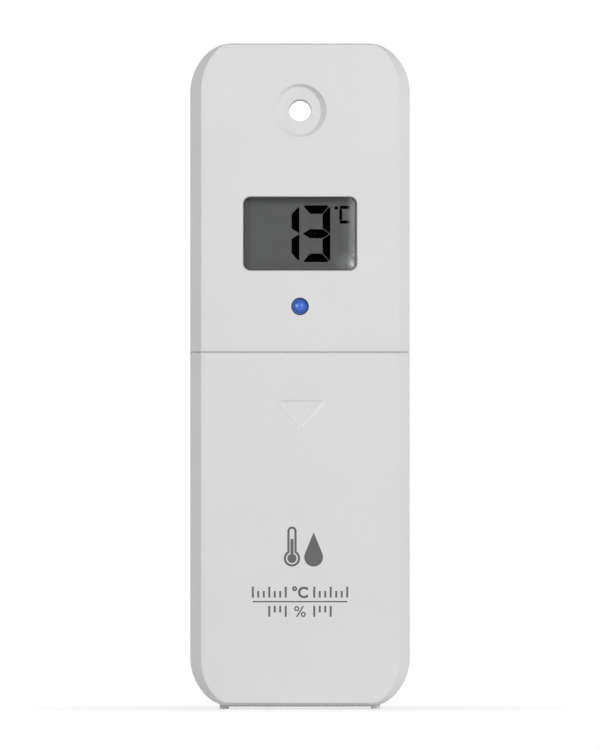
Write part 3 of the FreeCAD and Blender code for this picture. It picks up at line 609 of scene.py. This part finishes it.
def thickened(bm, faces, depth):
    """Give flat faces a thickness along Y and return the moved vertices."""
    made = bmesh.ops.extrude_face_region(bm, geom=faces)
    verts = [v for v in made["geom"] if isinstance(v, bmesh.types.BMVert)]
    moved(bm, verts, (0, depth, 0))
    return verts


def inset(bm, face, width):
    """Draw a flat face inward by an even width and return the rim that this leaves."""
    return bmesh.ops.inset_region(bm, faces=[face], thickness=width, use_boundary=True,
                                  use_even_offset=True)["faces"]


def rounded(bm, edges, offset, segments):
    """Round edges off."""
    bmesh.ops.bevel(bm, geom=edges, offset=offset, offset_type="OFFSET", affect="EDGES",
                    segments=segments, profile=0.5, material=-1)


def rim_of(bm, face, width):
    """The rim of a flat face, of an even width, with the rest of the face taken out."""
    rim = inset(bm, face, width)
    bmesh.ops.delete(bm, geom=[face], context="FACES")
    return rim


class Layer:
    """Thin flat shapes between two depths, under construction."""

    def __init__(self, front, back, bm=None):
        self.bm = bmesh.new() if bm is None else bm
        self.front, self.depth = front, back - front

    def plate(self, corners, wall=None):
        """A plate from its outline, or only the wall along its rim."""
        face = flat_face(self.bm, corners, self.front)
        thickened(self.bm, rim_of(self.bm, face, wall) if wall else [face], self.depth)

    def bar(self, left, right, low, high):
        """A plate with four square corners."""
        self.plate([(left, low), (right, low), (right, high), (left, high)])

    def ring(self, x, z, radius, wall=None, steps=32):
        """A ring with a wall, or a disc without one."""
        made = bmesh.ops.create_circle(self.bm, cap_ends=True, cap_tris=False, segments=steps,
                                       radius=radius)["verts"]
        face = made[0].link_faces[0]
        stood_up(self.bm, made)
        moved(self.bm, made, (x, self.front, z))
        thickened(self.bm, rim_of(self.bm, face, wall) if wall else [face], self.depth)


def arc(centre, radius, start, end, steps):
    """Points on an arc, across and up, between two angles in degrees."""
    points = []
    for step in range(steps + 1):
        angle = math.radians(start + (end - start) * step / steps)
        points.append((centre[0] + radius * math.cos(angle), centre[1] + radius * math.sin(angle)))
    return points


def lathe(profile, centre, axis, steps):
    """A profile of (radius, along) pairs, spun round an axis through a point."""
    bm = bmesh.new()
    along = Vector(axis).normalized()
    outward = Vector((1, 0, 0)) if abs(along.x) < 0.5 else Vector((0, 1, 0))
    verts = [bm.verts.new(centre + outward * radius + along * step) for radius, step in profile]
    edges = [bm.edges.new(pair) for pair in zip(verts, verts[1:])]
    bmesh.ops.spin(bm, geom=verts + edges, cent=centre, axis=along, dvec=(0, 0, 0),
                   angle=2 * math.pi, steps=steps, use_merge=True, use_duplicate=False)
    bmesh.ops.remove_doubles(bm, verts=bm.verts, dist=WELD)
    return bm


def block(bm, low, high, bevel):
    """A box between two corners, with broken edges."""
    made = bmesh.ops.create_cube(bm, size=1.0)["verts"]
    bmesh.ops.scale(bm, vec=Vector(high) - Vector(low), verts=made)
    moved(bm, made, (Vector(low) + Vector(high)) / 2)
    rounded(bm, list({edge for v in made for edge in v.link_edges}), bevel, 1)


def from_curve(curve):
    """The mesh of a curve, under construction."""
    holder = bpy.data.objects.new(curve.name, curve)
    mesh = bpy.data.meshes.new_from_object(holder)
    bpy.data.objects.remove(holder)
    bpy.data.curves.remove(curve)
    bm = bmesh.new()
    bm.from_mesh(mesh)
    bpy.data.meshes.remove(mesh)
    return bm


def wire(name, points, radius):
    """Round wire along points, as a mesh."""
    curve = bpy.data.curves.new(name, "CURVE")
    curve.dimensions = "3D"
    curve.bevel_depth = radius
    curve.bevel_resolution = 4
    curve.use_fill_caps = True
    line = curve.splines.new("POLY")
    line.points.add(len(points) - 1)
    for target, place in zip(line.points, points):
        target.co = (*place, 1)
    return from_curve(curve)


def sign(text, height, bold):
    """Flat sign from the built-in type, standing upright and centred on the origin."""
    size_for_height = 1.37
    curve = bpy.data.curves.new("sign", "FONT")
    curve.body = text
    curve.size = height * size_for_height
    curve.offset = bold
    curve.align_x = "CENTER"
    bm = from_curve(curve)
    bmesh.ops.remove_doubles(bm, verts=bm.verts, dist=0.002 * MM)
    stood_up(bm, bm.verts)
    return bm


# ---- Display figures ----
SEGMENTS_ON = ("abcdef", "bc", "abged", "abgcd", "fgbc", "afgcd", "afgedc", "abc", "abcdefg",
               "abcdfg")


def segment_shapes(look):
    """Outlines of the seven segments of one figure, from its lower left corner."""
    width, height, gap = look.figure_width, look.figure_height, look.figure_gap
    upright, level, cut = look.upright_stroke, look.level_stroke, look.figure_chamfer
    half = height / 2
    slant = math.atan2(level - cut / 2, upright - cut / 2)
    aside, below = gap / 2 / math.sin(slant), gap / 2 / math.cos(slant)
    nick = gap / 2 / math.sqrt(2)
    corner = (width - cut / 2, height - cut / 2)
    top_right = [(width - cut, height), (corner[0] - nick, corner[1] + nick),
                 (width - upright - aside, height - level)]
    top = top_right + [(width - x, z) for x, z in reversed(top_right)]
    rise, lift = 0.64, 0.6 * gap
    foot = half + lift + rise * upright
    right_high = [(width, half + lift), (width, height - cut), (corner[0] + nick, corner[1] - nick),
                  (width - upright, height - level - below), (width - upright, foot)]
    drop = gap / math.cos(math.atan(rise))
    tip = (drop - lift) / rise
    thick = foot - drop - half
    middle_bar = [(tip, half), (upright, half + thick), (width - upright, half + thick),
                  (width - tip, half), (width - upright, half - thick), (upright, half - thick)]

    def turned_over(shape):
        return [(x, height - z) for x, z in reversed(shape)]

    def mirrored(shape):
        return [(width - x, z) for x, z in reversed(shape)]

    return {
        "a": top, "b": right_high, "c": turned_over(right_high), "d": turned_over(top),
        "e": mirrored(turned_over(right_high)), "f": mirrored(right_high), "g": middle_bar,
    }


# ---- Operators ----
class SENSOR_OT_case(bpy.types.Operator):
    """Give the two case shells and the cover their moulded plastic"""

    bl_idname = "sensor.case"
    bl_label = "Case and Cover"

    def execute(self, context):
        look = context.scene.sensor.case
        # Front and cover carry painted shade and painted light along the seam, see moulded_plastic.
        front = moulded_plastic("front_shell_plastic", look.shell, look.grain, seam=look.seam)
        rear = moulded_plastic("rear_shell_plastic", look.shell, look.grain)
        # Painted highlight along the thumb mark's right side, painted shade along its left side.
        thumb_mark_shading = [(Vector((0.3, 51.5)), Vector((4.5, 56.0)), 1.1),
                      (Vector((-0.2, 51.4)), Vector((-4.5, 56.3)), 0.965)]
        cover_grain = look.grain * 1.05
        cover = moulded_plastic("cover_shell_plastic", look.shell, cover_grain, seam=look.seam,
                                shading_lines=thumb_mark_shading)
        give(front, "front_case")
        give(rear, "rear_case")
        give(cover, COVER)
        return {"FINISHED"}


class SENSOR_OT_lens(bpy.types.Operator):
    """Model the clear lens with its soft edge"""

    bl_idname = "sensor.lens"
    bl_label = "Display Lens"

    def execute(self, context):
        low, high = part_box("display_window")
        rise, border, corner, soft, near = 0.5 * MM, 1.5 * MM, 0.95 * MM, 0.34 * MM, 0.01 * MM
        bm = bmesh.new()
        corners = [(low.x, low.z), (high.x, low.z), (high.x, high.z), (low.x, high.z)]
        face = flat_face(bm, corners, low.y + rise)
        thickened(bm, [face], high.y - low.y - rise)
        inset(bm, face, border)
        raised = thickened(bm, [face], -rise)
        bmesh.ops.delete(bm, geom=[face], context="FACES")
        upright = [e for v in raised for e in v.link_edges
                   if abs(e.verts[0].co.y - e.verts[1].co.y) > 0.1 * MM]
        rounded(bm, upright, corner, 6)
        rim = [e for e in bm.edges if all(v.co.y < low.y + near for v in e.verts)]
        rounded(bm, rim, soft, 5)
        fronts = [f for f in bm.faces if f.calc_center_median().y < low.y + near]
        inset(bm, max(fronts, key=lambda f: f.calc_area()), 0.2 * MM)
        # Centre of the painted reflection near the lens's lower right corner.
        reflection_centre = Vector((high.x - border - 0.42 * MM, low.y, low.z + border + 0.8 * MM))
        pane = clear_pane("clear_acrylic", linear(250, 251, 251), reflection_centre)
        finished("lens", bm, pane, ["display_window"])
        return {"FINISHED"}


class SENSOR_OT_display(bpy.types.Operator):
    """Dress the display stack and draw its figures"""

    bl_idname = "sensor.display"
    bl_label = "Display"

    def execute(self, context):
        look = context.scene.sensor.display
        centre = middle("display_window")
        reach = Vector((look.opening_width / 2, 0, look.opening_height / 2))
        # The film carries painted shadow at its left and top and painted light toward its right.
        film = display_field("polarising_film", look.field, (centre - reach, centre + reach))
        give(film, "display_polariser")
        give(sheet_glass("display_sheet_glass"), "display_glass")
        foil = bare_metal("reflector_foil", linear(188, 190, 188), 0.3 * MM, 0.34)
        give(foil, "display_reflector")
        give(striped_rubber("contact_strip_rubber"), "zebra_strips")
        pale = context.scene.sensor.case.inner
        give(moulded_plastic("inner_frame_plastic", pale, 0.2 * MM), "display_frame")
        self.figures(look, centre)
        return {"FINISHED"}

    def figures(self, look, centre):
        """Figures and unit sign on the front of the film."""
        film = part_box("display_polariser")[0].y
        layer = Layer(film - FIGURE_RAISED, film + INK_SUNK)
        shapes = segment_shapes(look)
        right = centre.x + look.figure_right
        low = centre.z - look.figure_height / 2
        for place, figure in enumerate(reversed(str(look.reading))):
            left = right - look.figure_width - place * look.figure_pitch
            for segment in SEGMENTS_ON[int(figure)]:
                layer.plate([(left + x, low + z) for x, z in shapes[segment]])
        self.unit(layer, centre)
        ink = flat_ink("display_black", look.ink, 0.0)
        finished("display_figures", layer.bm, ink)

    def unit(self, layer, centre):
        """Degree dot and angular C."""
        stroke, chamfer = 0.58 * MM, 0.1 * MM
        left, right = centre.x + 7.17 * MM, centre.x + 9.1 * MM
        high, low = centre.z + 5.1 * MM, centre.z + 1.84 * MM
        layer.bar(left + chamfer, right, high, high - stroke)
        layer.bar(left, left + stroke * 0.9, high - chamfer - stroke * 0.9, low + stroke * 1.1)
        layer.bar(left + chamfer, right, low + stroke, low)
        layer.ring(centre.x + 6.62 * MM, centre.z + 4.7 * MM, 0.35 * MM, steps=12)


class SENSOR_OT_cover_print(bpy.types.Operator):
    """Print the thermometer, the drop and the unit signs on the cover"""

    bl_idname = "sensor.cover_print"
    bl_label = "Cover Print"

    def execute(self, context):
        look = context.scene.sensor.print
        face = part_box("battery_cover")[0].y
        depths = face - INK_RAISED, face + INK_SUNK
        ink = flat_ink("printing_ink", look.ink)
        layer = Layer(*depths)
        self.thermometer(layer, look)
        self.drop(layer, look)
        finished("print_thermometer_and_drop", layer.bm, ink, body=COVER)
        layer = Layer(*depths)
        half, thin = look.rule_length / 2, 0.12 * MM
        layer.bar(-half, half, look.rule_height - thin, look.rule_height + thin)
        self.scale_marks(layer, look)
        finished("print_scales", layer.bm, ink, body=COVER)
        size, above, below = look.letter, 0.75 * MM, 0.8 * MM
        layer = Layer(*depths, sign("°C", size, 0.09 * MM))
        moved(layer.bm, layer.bm.verts, (0, layer.front, look.rule_height + above))
        thickened(layer.bm, list(layer.bm.faces), layer.depth)
        self.percent(layer, size, look.rule_height - below - size)
        finished("print_units", layer.bm, ink, body=COVER)
        return {"FINISHED"}

    def percent(self, layer, size, low):
        """Percent sign: a slanted stroke between two rings."""
        foot, stroke = 0.3 * size, 0.075 * size
        layer.plate([(-foot - stroke, low), (-foot + stroke, low), (foot + stroke, low + size),
                     (foot - stroke, low + size)])
        for x, z in ((-foot, 0.76 * size), (foot, 0.24 * size)):
            layer.ring(x, low + z, 0.235 * size, 0.12 * size)

    def thermometer(self, layer, look):
        """Outlined tube with a bulb and a filled column."""
        size = look.sign_size
        bulb, tube, wall, gap = 0.205 * size, 0.115 * size, 0.055 * size, 0.035 * size
        x, low = -0.2 * size, look.sign_low + bulb
        top, filled_to = look.sign_low + size - tube, look.sign_low + 0.66 * size
        meet = math.degrees(math.acos(tube / bulb))
        outline = arc((x, low), bulb, meet, -180 - meet, 28) + arc((x, top), tube, 180, 0, 12)
        layer.plate(outline, wall)
        inner, column = bulb - wall - gap, tube - wall - gap * 0.6
        meet = math.degrees(math.acos(column / inner))
        layer.plate(arc((x, low), inner, meet, -180 - meet, 24)
                    + arc((x, filled_to), column, 180, 0, 6))

    def drop(self, layer, look):
        """Filled water drop."""
        radius = 0.235 * look.sign_size
        x, low = 0.34 * look.sign_size, look.sign_low + radius
        reach = 0.62 * look.sign_size
        lean = math.degrees(math.asin(radius / reach))
        layer.plate([(x, low + reach)] + arc((x, low), radius, lean, -180 - lean, 30))

    def scale_marks(self, layer, look):
        """Fine marks on both sides of each unit sign, like the scale of an instrument."""
        thin, pitch, free, rule_gap = 0.18 * MM, 1.0 * MM, 2.6 * MM, 0.75 * MM
        for up, reach in ((1, 8.6 * MM), (-1, 5.8 * MM)):
            start = look.rule_height + up * rule_gap
            for index in range(int((reach - free) / pitch) + 1):
                length = 2.0 * MM if index % 3 == 0 else 1.2 * MM
                low, high = sorted((start, start + up * length))
                for side in (-1, 1):
                    x = side * (free + index * pitch)
                    layer.bar(x - thin, x + thin, low, high)


class SENSOR_OT_lamp(bpy.types.Operator):
    """Model the lamp with its smooth dome and its two leads"""

    bl_idname = "sensor.lamp"
    bl_label = "Status Lamp"

    def execute(self, context):
        low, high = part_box("status_lamp")
        centre, flange = middle("status_lamp"), (high.x - low.x) / 2
        radius, flange_back, soft = 1.5 * MM, 5.3 * MM, 0.1 * MM
        tip = Vector((centre.x, low.y, centre.z))
        profile = [(radius * math.sin(math.radians(a)), radius * (1 - math.cos(math.radians(a))))
                   for a in range(0, 91, 9)]
        profile += [(radius, 4.35 * MM), (flange - soft, 4.5 * MM), (flange, 4.6 * MM),
                    (flange, 5.2 * MM), (flange - soft, flange_back), (0, flange_back)]
        dome = lathe(profile, tip, (0, 1, 0), 48)
        # The resin carries painted light on its rim and a painted highlight.
        resin = lamp_resin("blue_lamp_resin", tip, radius)
        finished("lamp_dome", dome, resin, ["status_lamp"])
        bm = bmesh.new()
        lead_across, half = 1.27 * MM, 0.25 * MM
        for x in (centre.x - lead_across, centre.x + lead_across):
            block(bm, (x - half, low.y + flange_back, centre.z - half),
                  (x + half, high.y, centre.z + half), 0.05 * MM)
        lead = bare_metal("tinned_lead", linear(198, 198, 200), 0.08 * MM)
        finished("lamp_leads", bm, lead)
        return {"FINISHED"}


class SENSOR_OT_cells(bpy.types.Operator):
    """Model the two cells: cans, end rings, sleeves and polarity signs"""

    bl_idname = "sensor.cells"
    bl_label = "Cells"

    def execute(self, context):
        drawn = (1, 1, 0.1)
        steel = bare_metal("cell_steel", linear(190, 190, 188), 0.12 * MM, 0.24, drawn)
        seal = epoxy_resin("cell_seal", (52, 52, 56))
        for side, nub_up in (("left", True), ("right", False)):
            self.can(side, nub_up, steel, seal)
            self.sleeve(side, nub_up)
        return {"FINISHED"}

    def can(self, side, nub_up, steel, seal):
        """Drawn steel can with its raised end and crimped edge."""
        node = "battery_cell_" + side
        low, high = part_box(node)
        centre, radius = middle(node), (high.x - low.x) / 2
        start = Vector((centre.x, centre.y, low.z if nub_up else high.z))
        axis = (0, 0, 1 if nub_up else -1)
        nub, rise, soft, dish = 2.6 * MM, 1.0 * MM, 0.45 * MM, 0.12 * MM
        body = high.z - low.z - rise
        profile = [(0, dish), (4.2 * MM, dish), (4.5 * MM, 0), (radius - soft, 0),
                   (radius - 0.13 * MM, 0.13 * MM), (radius, soft)]
        profile += [(radius - within * MM, body - under * MM) for within, under in (
            (0, 1.5), (0.12, 1.2), (0.12, 0.9), (0, 0.6), (0.06, 0.15), (0.5, 0), (1.1, 0.05),
            (1.2, 0.35))]
        profile += [(nub + 0.35 * MM, body - 0.35 * MM), (nub, body)]
        profile += [(nub - within * MM, body + rise - under * MM) for within, under in (
            (0, 0.25), (0.08, 0.08), (0.25, 0))]
        profile.append((0, body + rise))
        can = lathe(profile, start, axis, 72)
        finished("cell_can_" + side, can, steel, [node])
        inner, outer = nub + 0.5 * MM, radius - 1.25 * MM
        under, over = body - 0.34 * MM, body - dish
        ring = [(inner, under), (outer, under), (outer, over), (inner + 0.1 * MM, over),
                (inner, under)]
        disc = lathe(ring, start, axis, 72)
        finished("cell_seal_" + side, disc, seal)

    def sleeve(self, side, nub_up):
        """Shrink sleeve that curls over both ends of the can."""
        node = "battery_sleeve_" + side
        low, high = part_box(node)
        centre, radius = middle(node), (high.x - low.x) / 2
        length, wall, soft = high.z - low.z, 0.19 * MM, 0.14 * MM
        curl = radius - wall * 0.4
        profile = [(radius - wall, 0), (curl, 0), (radius, soft), (radius, length - soft),
                   (curl, length), (radius - wall, length), (radius - wall, 0)]
        tube = lathe(profile, Vector((centre.x, centre.y, low.z)), (0, 0, 1), 96)
        wrap = cell_wrap("cell_sleeve_" + side, low, high, nub_up)
        finished("cell_sleeve_" + side, tube, wrap, [node])


class SENSOR_OT_springs(bpy.types.Operator):
    """Wind the two battery springs and finish the contact plates"""

    bl_idname = "sensor.springs"
    bl_label = "Springs and Contacts"

    def execute(self, context):
        bright = bare_metal("nickel_plate", linear(206, 202, 192), 0.14 * MM, 0.22)
        give(bright, "bottom_link_contact", "top_plate_contact", "top_spring_contact")
        wire_radius = 0.3 * MM
        for node, cell, wide_end in (("bottom_spring", "battery_cell_left", 0),
                                     ("top_spring", "battery_cell_right", 1)):
            low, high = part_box(node)
            ends = (low.z + wire_radius, high.z - wire_radius)
            start, end = ends[wide_end], ends[1 - wide_end]
            points = self.winding(middle(cell), start, end, 4.2 * MM, 2.4 * MM)
            coil = wire(node, points, wire_radius)
            finished("wound_" + node, coil, bright, [node])
        return {"FINISHED"}

    def winding(self, axis, start, end, wide, narrow):
        """Points of a conical spring with closed end turns, from its wide end."""
        turns, per_turn, closed, rising = 4, 28, 0.12, 0.76
        points = []
        for step in range(turns * per_turn + 1):
            share = step / (turns * per_turn)
            angle = 2 * math.pi * turns * share
            rise = min(1.0, max(0.0, (share - closed) / rising))
            radius = wide + (narrow - wide) * share
            points.append((axis.x + radius * math.cos(angle), axis.y + radius * math.sin(angle),
                           start + (end - start) * rise))
        return points


class SENSOR_OT_screws(bpy.types.Operator):
    """Give the case and board screws their zinc plated steel"""

    bl_idname = "sensor.screws"
    bl_label = "Screws"

    def execute(self, context):
        steel = bare_metal("zinc_plated_steel", linear(190, 192, 194), 0.1 * MM, 0.3)
        give(steel, "case_screws", "board_screws")
        return {"FINISHED"}


class SENSOR_OT_board(bpy.types.Operator):
    """Finish the circuit boards and the parts soldered to them"""

    bl_idname = "sensor.board"
    bl_label = "Circuit Board"

    def execute(self, context):
        give(solder_mask("green_solder_mask"), "circuit_board", "sensor_board")
        resin = epoxy_resin("black_epoxy")
        give(resin, "controller_chip", "sensor_header", "transmit_switch", "unit_switch")
        give(epoxy_resin("sensor_housing", (64, 64, 66)), "humidity_sensor")
        tin = bare_metal("tin_plate", linear(196, 197, 198), 0.2 * MM, 0.3)
        give(tin, "radio_module", "timing_crystal")
        give(bare_metal("aerial_wire", linear(196, 140, 96), 0.1 * MM, 0.25), "antenna_coil")
        give(epoxy_resin("capacitor_ceramic", (164, 134, 98)), "capacitors")
        return {"FINISHED"}


class SENSOR_OT_buttons(bpy.types.Operator):
    """Model the two button caps with soft edges"""

    bl_idname = "sensor.buttons"
    bl_label = "Buttons"

    def execute(self, context):
        colour = context.scene.sensor.case.button
        plastic = moulded_plastic("button_cap_plastic", colour, 0.16 * MM, 0.48)
        for name in ("transmit_button", "unit_button"):
            low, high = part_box(name)
            centre, flange, depth = middle(name), (high.x - low.x) / 2, high.y - low.y
            stem, soft, edge = flange - 0.65 * MM, 0.22 * MM, 0.06 * MM
            step = depth - 0.6 * MM
            profile = [(0, 0.12 * MM), (stem * 0.55, edge), (stem - soft, 0),
                       (stem - 0.07 * MM, 0.07 * MM), (stem, soft), (stem, step),
                       (flange - edge, step), (flange, step + edge), (flange, depth - edge),
                       (flange - edge, depth), (0, depth)]
            cap = lathe(profile, Vector((centre.x, low.y, centre.z)), (0, 1, 0), 48)
            finished(name + "_cap", cap, plastic, [name], name)
        return {"FINISHED"}


class SENSOR_OT_stage(bpy.types.Operator):
    """Set the camera, the lamps, the room light and the floor"""

    bl_idname = "sensor.stage"
    bl_label = "Stage"

    def execute(self, context):
        look = context.scene.sensor.stage
        self.camera(context, look)
        self.room(context, look)
        self.floor()
        target = Vector((0, 0, look.camera_height))
        self.lamp("key_lamp", (0.46, -0.84, 0.36), target, 0.38, look.key)
        self.lamp("fill_lamp", (-0.92, -0.36, 0.92), target, 0.45, look.fill)
        rear = self.lamp("rear_lamp", (0.1, 1.3, 0.2), target, 0.4, look.rear)
        rear.visible_glossy = False
        self.dark_card()
        context.scene.view_settings.view_transform = "Standard"
        return {"FINISHED"}

    def camera(self, context, look):
        """Long lens straight in front of the case."""
        data = bpy.data.cameras.new("camera")
        data.sensor_width = 36
        data.lens = data.sensor_width / 2 / (look.view_height / 2 / look.camera_distance)
        data.clip_start = 0.1
        data.clip_end = 20
        camera = placed("camera", data)
        camera.location = (0, CAD_BOX[0].y - look.camera_distance, look.camera_height)
        camera.rotation_euler = (math.pi / 2, 0, 0)
        context.scene.camera = camera

    def room(self, context, look):
        """Even room light, and a white background for camera, mirror and glass rays."""
        world = bpy.data.worlds.new("room")
        world.use_nodes = True
        tree = world.node_tree
        light, white = tree.nodes["Background"], tree.nodes.new("ShaderNodeBackground")
        for node, strength in ((light, look.ambient), (white, 1.0)):
            node.inputs["Color"].default_value = (1, 1, 1, 1)
            node.inputs["Strength"].default_value = strength
        both = tree.nodes.new("ShaderNodeMixShader")
        tree.links.new(white_ray(tree), both.inputs["Fac"])
        tree.links.new(light.outputs["Background"], both.inputs[1])
        tree.links.new(white.outputs["Background"], both.inputs[2])
        tree.links.new(both.outputs["Shader"], tree.nodes["World Output"].inputs["Surface"])
        context.scene.world = world

    def floor(self):
        """Pale floor that keeps the shadow near the case and clears to the white room further out.

        It lets the light through, so that the cover still shows where it slides below the feet.
        """
        finish = Finish("floor_paper")
        finish.shade(Base_Color=(0.95, 0.95, 0.95), Roughness=0.9, Specular_IOR_Level=0.1)
        clear = finish.node("ShaderNodeBsdfTransparent")
        clear_here, fade_start, fade_end = 0.68, 0.02, 0.055
        away = finish.distance((0, 0, 0))
        far = finish.spread(away, clear_here, 1, fade_start, fade_end)
        white = finish.product(far, white_ray(finish.tree))
        shadow = finish.node("ShaderNodeLightPath").outputs["Is Shadow Ray"]
        both = finish.blended(finish.math("MAXIMUM", white, shadow), finish.shader, clear)
        finish.link(both.outputs[0], finish.tree.nodes["Material Output"].inputs["Surface"])
        half_side = 6.0
        floor = self.sheet("floor", half_side, finish)

    def dark_card(self):
        """Dark card in front of the case that only mirrors see, so that the lens stays clear."""
        finish = Finish("black_card")
        finish.shade(Base_Color=(0.001, 0.001, 0.001), Roughness=1.0, Specular_IOR_Level=0.0)
        half_side, front = 0.17, -1.5
        centre = (0, front, middle("display_window").z)
        card = self.sheet("dark_card", half_side, finish, centre)
        card.visible_camera = card.visible_diffuse = card.visible_shadow = False
        card.visible_transmission = card.visible_volume_scatter = False

    def sheet(self, name, half_side, finish, centre=None):
        """Flat square of the stage: lying on the ground, or upright about a centre."""
        bm = bmesh.new()
        bmesh.ops.create_grid(bm, x_segments=1, y_segments=1, size=half_side)
        if centre:
            stood_up(bm, bm.verts)
            moved(bm, bm.verts, centre)
        return placed(name, mesh_from(bm, name, finish.material))

    def lamp(self, name, place, target, size, power):
        """Square soft lamp aimed at the case."""
        data = bpy.data.lights.new(name, "AREA")
        data.size = size
        data.energy = power
        lamp = placed(name, data)
        lamp.location = place
        lamp.visible_camera = False
        lamp.rotation_euler = (target - Vector(place)).to_track_quat("-Z", "Y").to_euler()
        return lamp


def white_ray(tree):
    """1 where a camera, mirror or glass ray looks, else 0."""
    path = tree.nodes.new("ShaderNodeLightPath")
    share = path.outputs["Is Camera Ray"]
    for name in ("Is Glossy Ray", "Is Transmission Ray"):
        larger = tree.nodes.new("ShaderNodeMath")
        larger.operation = "MAXIMUM"
        tree.links.new(share, larger.inputs[0])
        tree.links.new(path.outputs[name], larger.inputs[1])
        share = larger.outputs["Value"]
    return share


class SENSOR_PT_panel(bpy.types.Panel):
    """Sidebar panel with the settings and the steps that dress the sensor"""

    bl_label = "Weather Sensor"
    bl_idname = "SENSOR_PT_panel"
    bl_space_type = "VIEW_3D"
    bl_region_type = "UI"
    bl_category = "Sensor"

    def draw(self, context):
        settings = context.scene.sensor
        for group in ("case", "display", "print", "stage"):
            box = self.layout.box()
            for name in getattr(settings, group).bl_rna.properties.keys():
                if name not in ("rna_type", "name"):
                    box.prop(getattr(settings, group), name)
        for step in STEPS:
            self.layout.operator(step.bl_idname)


STEPS = (
    SENSOR_OT_case, SENSOR_OT_lens, SENSOR_OT_display, SENSOR_OT_cover_print, SENSOR_OT_lamp,
    SENSOR_OT_cells, SENSOR_OT_springs, SENSOR_OT_screws, SENSOR_OT_board, SENSOR_OT_buttons,
    SENSOR_OT_stage,
)
CLASSES = (
    SensorCaseSettings, SensorDisplaySettings, SensorPrintSettings, SensorStageSettings,
    SensorSettings, *STEPS, SENSOR_PT_panel,
)


def register():
    """Add the classes and the scene's settings."""
    for cls in CLASSES:
        bpy.utils.register_class(cls)
    bpy.types.Scene.sensor = PointerProperty(type=SensorSettings)


def unregister():
    """Take the classes and the scene's settings away."""
    del bpy.types.Scene.sensor
    for cls in reversed(CLASSES):
        bpy.utils.unregister_class(cls)


def main():
    """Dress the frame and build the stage."""
    register()
    for step in STEPS:
        group, name = step.bl_idname.split(".")
        getattr(getattr(bpy.ops, group), name)()


if __name__ == "__main__":
    main()
